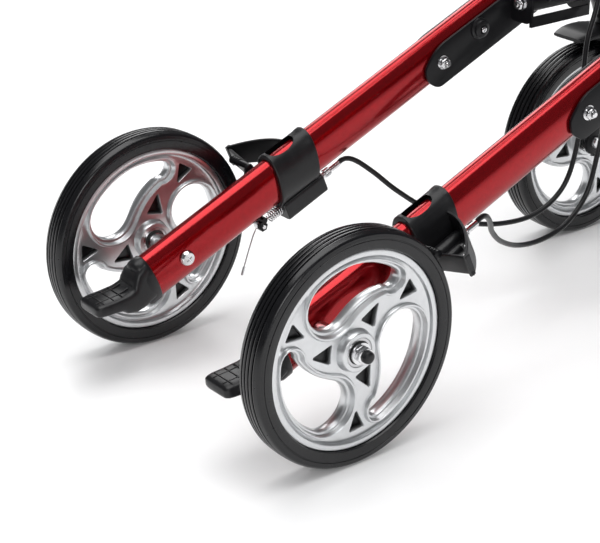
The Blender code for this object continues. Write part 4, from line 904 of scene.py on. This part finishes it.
def blended(part):
    """The stem head's outline: round at its foot, turning into the upright's oval at its top."""
    low = [Vector((FRAME_X + a, STEM.y + b, HEAD_BASE + 0.022 * part)) for a, b in ring(0.018, 64)]
    high = [upright_spot(0.03 + 0.024 * part, b, FRAME_X + a)
            for a, b in oval(0.0142, 0.0226, 64, SQUARENESS)]
    share = part * part * (3 - 2 * part)
    return [p.lerp(q, share) for p, q in zip(low, high)]


head = lofted([[p.lerp(Vector((FRAME_X, STEM.y, HEAD_BASE)), 0.08) for p in blended(0)]]
              + [blended(i / 8) for i in range(1, 9)]
              + [upright_ring(0.06, 0.0014), upright_ring(0.0606, 0.0004)])
fit_on("left_stem_socket", head, BLACK_PLASTIC, "left_frame", ["left_stem_head"],
       smooth=40)


# Scissor. Two crossed round steel tubes, powder coated black, welded to short pivot tubes at
# their feet and to saddles on the seat rails, with one bolt and a spacer washer at the crossing.
BRACE_RADIUS = 0.0105
RAIL_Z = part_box("left_seat_rail")[0].z + BRACE_RADIUS
pivot_start = ear_front - 0.0033
REAR_TUBE = rear_hub.y - 0.4088
FRONT_TUBE = rear_hub.y - 0.4378
cradle_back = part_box("left_rail_cradle")[1].y
for name, side, forward_y in (("rear", 1, REAR_TUBE), ("front", -1, FRONT_TUBE)):
    foot = Vector((PIVOT.x * side, forward_y, PIVOT.z))
    top = Vector((-PIVOT.x * side, forward_y, RAIL_Z))
    brace = swept([foot, top], ring(BRACE_RADIUS, 40))
    lofted([[Vector((foot.x + a, y, foot.z + b)) for a, b in ring(size, 40)]
            for y, size in ((pivot_start, 0.0044), (pivot_start - 0.0002, BRACE_RADIUS - 0.0006),
                            (pivot_start - 0.0008, BRACE_RADIUS), (pivot_start - 0.0732, BRACE_RADIUS),
                            (pivot_start - 0.0738, BRACE_RADIUS - 0.0006),
                            (pivot_start - 0.074, 0.0044))], True, brace)
    weld = foot.lerp(top, 0.0235)
    swept([weld.lerp(top, -0.006), weld, weld.lerp(top, 0.008)],
          lambda i: ring((0.0117, 0.0121, 0.0106)[i], 32), data=brace)
    lofted([[Vector((top.x + a, y, top.z + b)) for a, b in ring(0.0124, 40)]
            for y in (forward_y + 0.015, max(forward_y - 0.015, cradle_back + 0.0012))], False, brace)
    fit_on(f"{name}_scissor_tube", brace, BLACK_STEEL, f"{name}_brace", [f"{name}_brace"],
           smooth=34)
middle = Vector((0, REAR_TUBE + BRACE_RADIUS, (PIVOT.z + RAIL_Z) / 2))
cross = bmesh.new()
stacked(middle, Y, [(0.0075, 0), (0.0075, 0.0012), (0.0066, 0.0034), (0.004, 0.005)], cross)
lock_nut(middle - Vector((0, 0.05, 0)), -Y, 0.0032, cross, 0.001)
swept([middle, middle - Vector((0, 0.05, 0))], ring(0.0039, 24), data=cross)
fit_on("scissor_bolt", cross, CHROME, "rear_brace", ["brace_bolt"], smooth=28)
for side, carrier in ((1, "front_brace"), (-1, "rear_brace")):
    label = "left" if side > 0 else "right"
    rail_low, rail_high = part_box(f"{label}_seat_rail")
    x, z = PIVOT.x * side, RAIL_Z
    rail = swept([Vector((x, rail_high.y, z)), Vector((x, rail_low.y, z))], ring(BRACE_RADIUS, 40))
    fit_on(f"{label}_rail_tube", rail, BLACK_STEEL, carrier, [f"{label}_seat_rail"],
           twin=False)
    caps = bmesh.new()
    for end, out in ((rail_high.y, 1), (rail_low.y, -1)):
        stacked(Vector((x, end, z)), Y * out,
                [(0.0105, -0.002), (0.0112, -0.0018), (0.0112, 0.0008), (0.0095, 0.0026), (0.005, 0.0034)],
                caps)
    fit_on(f"{label}_rail_caps", caps, BLACK_PLASTIC, carrier, (), smooth=50, twin=False)
for label in ("brace_spacer", "left_rail_cradle", "right_rail_cradle"):
    moulding = frame["nodes"][label].data
    moulding.materials.clear()
    moulding.materials.append(BLACK_PLASTIC)


# Seat halves. Padded black woven polyester over foam, closed by a stitched binding round the edge
# and a sewn sleeve that the seat rail runs through; the two halves stand upright when folded.
FABRIC = surface("black_woven_polyester", (0.022, 0.022, 0.024), 0.0, 0.85, grain=2200, bump=0.5, tint=0.3)
seat_low, seat_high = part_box("left_seat_panel")
half = (seat_high.x - seat_low.x) / 2
seat_mid = (seat_low + seat_high) / 2
pad = bmesh.new()
bmesh.ops.create_cube(pad, size=1)
bmesh.ops.scale(pad,
                vec=(2 * half - 0.003, seat_high.y - seat_low.y - 0.006, seat_high.z - seat_low.z - 0.006),
                verts=pad.verts)
bmesh.ops.translate(pad, vec=seat_mid, verts=pad.verts)
bmesh.ops.bevel(pad, geom=pad.edges[:], offset=0.0045, segments=3, profile=0.5, affect="EDGES", material=-1)
pad_mesh = bpy.data.meshes.new("pad_form")
pad.to_mesh(pad_mesh)
pad.free()
form = bpy.data.objects.new("pad_form", pad_mesh)
bpy.context.scene.collection.objects.link(form)
grid = form.modifiers.new("grid", "REMESH")
grid.mode = "VOXEL"
grid.voxel_size = 0.0045
shape = bpy.data.meshes.new_from_object(form.evaluated_get(bpy.context.evaluated_depsgraph_get()))
bpy.data.objects.remove(form)
soft = bmesh.new()
soft.from_mesh(shape)
width, height = seat_high.y - seat_low.y, seat_high.z - seat_low.z
for vert in soft.verts:
    across, up = (vert.co.y - seat_mid.y) / (width / 2), (vert.co.z - seat_mid.z) / (height / 2)
    edge = max(abs(across), abs(up))
    crown_rise = 0.0022 * (1 - min(1, edge) ** 4)
    channel = 0.0022 * sum(math.exp(-((up - line) * height / 2 / 0.0035) ** 2) for line in (-0.34, 0.34))
    seam = 0.002 * math.exp(-((1 - edge) * min(width, height) / 2 / 0.0035 - 2.6) ** 2)
    crease = 0.00035 * math.sin(60 * vert.co.y + 5 * math.sin(40 * vert.co.z)) * math.sin(38 * vert.co.z)
    side = 1 if vert.co.x > seat_mid.x else -1
    vert.co.x += side * (crown_rise - channel - seam + crease)
bmesh.ops.smooth_vert(soft, verts=soft.verts, factor=0.4, use_axis_x=True, use_axis_y=True, use_axis_z=True)
pads = fit_on("left_seat_cushion", soft, FABRIC, "left_seat", ["left_seat_panel"], smooth=80)
for piece in pads:
    finer = piece.modifiers.new("finer", "SUBSURF")
    finer.levels = finer.render_levels = 1
binding = [Vector((seat_mid.x, seat_mid.y + a, seat_mid.z + b))
           for a, b in oval(width / 2 - 0.0015, height / 2 - 0.0015, 96, 14)]
piping = [[p + X * a + (p - seat_mid).normalized() * b for p in binding]
          for a, b in oval(0.004, 0.0022, 12, 3)]
fit_on("left_seat_binding", lofted(piping, True), FABRIC, "left_seat", (), smooth=60)
loop_rings = [[Vector((PIVOT.x + a, y, RAIL_Z + b)) for a, b in ring(size, 40)]
              for y, size in ((seat_high.y - 0.002, 0.0109), (seat_high.y - 0.002, 0.0124),
                              (seat_low.y + 0.002, 0.0124), (seat_low.y + 0.002, 0.0109))]
loop_rings[1] = [p + Vector((0, -0.0004, 0)) for p in loop_rings[1]]
loop_rings[2] = [p + Vector((0, 0.0004, 0)) for p in loop_rings[2]]
fit_on("left_seat_rail_sleeve", lofted(loop_rings, True), FABRIC, "left_seat", (), smooth=40)


# Height collars and buttons. A black moulded collar caps each upright, and a silver spring button
# in its outer face releases the handle tube.
collar_low = UPRIGHT_TOP - 0.04
skirt = ((collar_low, 0.0003), (collar_low, 0.0036), (collar_low + 0.001, 0.0043),
         (UPRIGHT_TOP + 0.002, 0.0043), (UPRIGHT_TOP + 0.0048, 0.003), (UPRIGHT_TOP + 0.006, 0.0))
mouth = [[upright_spot(UPRIGHT_TOP + along, b, FRAME_X + a) for a, b in ring(0.011, 64)]
         for along in (0.0061, 0.0008)]
collar = lofted([upright_ring(along, grow) for along, grow in skirt] + mouth
                + [upright_ring(UPRIGHT_TOP + 0.0003, 0.0003)], True)
button_spot = upright_spot(UPRIGHT_TOP - 0.02)
collar = carved(collar,
                lofted([[button_spot + X * out + UPRIGHT_AXIS * a + UPRIGHT_BACK * b
                         for a, b in ring(0.007, 40)] for out in (0.011, 0.03)]))
boss_low, boss_high = 0.0145, 0.0208
lofted([[button_spot + X * out + UPRIGHT_AXIS * a + UPRIGHT_BACK * b for a, b in ring(size, 40)]
        for out, size in ((boss_low, 0.0106), (boss_high - 0.0008, 0.01), (boss_high, 0.0092),
                          (boss_high - 0.0001, 0.0072), (boss_low + 0.001, 0.0072))], True, collar)
fit_on("left_height_collar", collar, BLACK_PLASTIC, "left_frame", ["left_collar"],
       smooth=36)
push_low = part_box("left_height_button")[0]
push = stacked(Vector((push_low.x, button_spot.y, button_spot.z)), X,
               [(0.0065, -0.003), (0.0065, 0.0018), (0.0058, 0.0029), (0.003, 0.0034)])
fit_on("left_release_button", push, SILVER, "left_button", ["left_height_button"],
       smooth=50)


# Handles. A round red tube rises out of each upright and bends back to a ribbed rubber grip, with
# a black lever housing clamped in front of it and a moulded brake lever under the fingers.
GRIP_RUBBER = surface("grip_rubber", (0.016, 0.016, 0.016), 0.0, 0.62, grain=1300, bump=0.14, tint=0.2)
TUBE = 0.0105
back = Vector((0, math.cos(math.radians(8)), math.sin(math.radians(8))))
down = Vector((0, back.z, -back.y))
bend = upright_spot(UPRIGHT_TOP + 0.115)
corner = upright_spot(UPRIGHT_TOP + 0.17)
last = corner + back * 0.055
end = corner + back * 0.205
path = [upright_spot(UPRIGHT_TOP - 0.2)]
path += [bend * (1 - i / 16) ** 2 + corner * 2 * (i / 16) * (1 - i / 16) + last * (i / 16) ** 2
         for i in range(17)]
path.append(end)
fit_on("left_handle_bar", swept(path, ring(TUBE, 40)), RED, "left_handle", ["left_handle_tube"],
       smooth=50)
grip_start = end - back * 0.118
sections = []
for i in range(61):
    part = i / 60
    ripple = 0.0007 * math.cos(2 * math.pi * part * 9) if 0.12 < part < 0.9 else 0
    palm = 0.0014 * math.sin(math.pi * part) ** 2
    size = 0.0152 + palm + ripple if part > 0.05 else 0.0166
    if part > 0.94:
        size = 0.0156 * math.sqrt(max(0.02, 1 - ((part - 0.94) / 0.062) ** 2))
    sections.append(size)
grip_path = [grip_start + back * (0.122 * i / 60) for i in range(61)]
grip = swept(grip_path, lambda i: oval(sections[i] * 0.97, sections[i] * 1.03, 40), up=Z)
fit_on("left_hand_grip", grip, GRIP_RUBBER, "left_handle", ["left_grip"], smooth=60)
house_end = grip_start - back * 0.001
house_start = house_end - back * 0.03
housing = swept([house_start + back * d for d in (0, 0.0016, 0.0284, 0.03)],
                lambda i: ring(0.0165 if i in (1, 2) else 0.0152, 48), up=Z)
for side in (-1, 1):
    near, far = FRAME_X + side * 0.008, FRAME_X + side * 0.0125
    ear = [house_start + back * 0.001 + down * 0.008, house_end - back * 0.002 + down * 0.008,
           house_end - back * 0.004 + down * 0.028, house_end - back * 0.009 + down * 0.034,
           house_start + back * 0.007 + down * 0.034, house_start + back * 0.002 + down * 0.028]
    slab(ear, min(near, far), max(near, far), 0.001, housing)
fit_on("left_brake_housing", housing, BLACK_PLASTIC, "left_handle", ["left_lever_housing"],
       smooth=40)
pin = Vector(joints["left_brake_squeeze"]["pos_m"])
pin_bolt = stacked(pin - X * 0.013, X,
                   [(0.003, -0.0012), (0.0042, -0.0006), (0.0042, 0.0003), (0.0025, 0.0004),
                    (0.0025, 0.0257), ("hex", 0.0038, 0.0258), ("hex", 0.0038, 0.0276)])
fit_on("left_lever_pin", pin_bolt, CHROME, "left_handle", (), smooth=34)
spine = [(-0.006, -0.001, 0.0055), (0.006, 0.0, 0.007), (0.02, 0.008, 0.0066), (0.034, 0.015, 0.0058),
         (0.05, 0.0195, 0.0053), (0.07, 0.0228, 0.005), (0.092, 0.024, 0.005), (0.108, 0.0248, 0.0052),
         (0.12, 0.0278, 0.005), (0.1275, 0.0305, 0.0036), (0.13, 0.0315, 0.0016)]
lever = swept([pin + back * a + down * b for a, b, _ in spine],
              lambda i: oval(0.007 if i < 9 else 0.007 - 0.0018 * (i - 8), spine[i][2], 32, 3.0), up=Z)
fit_on("left_hand_lever", lever, BLACK_PLASTIC, "left_lever", ["left_brake_lever"],
       smooth=50)
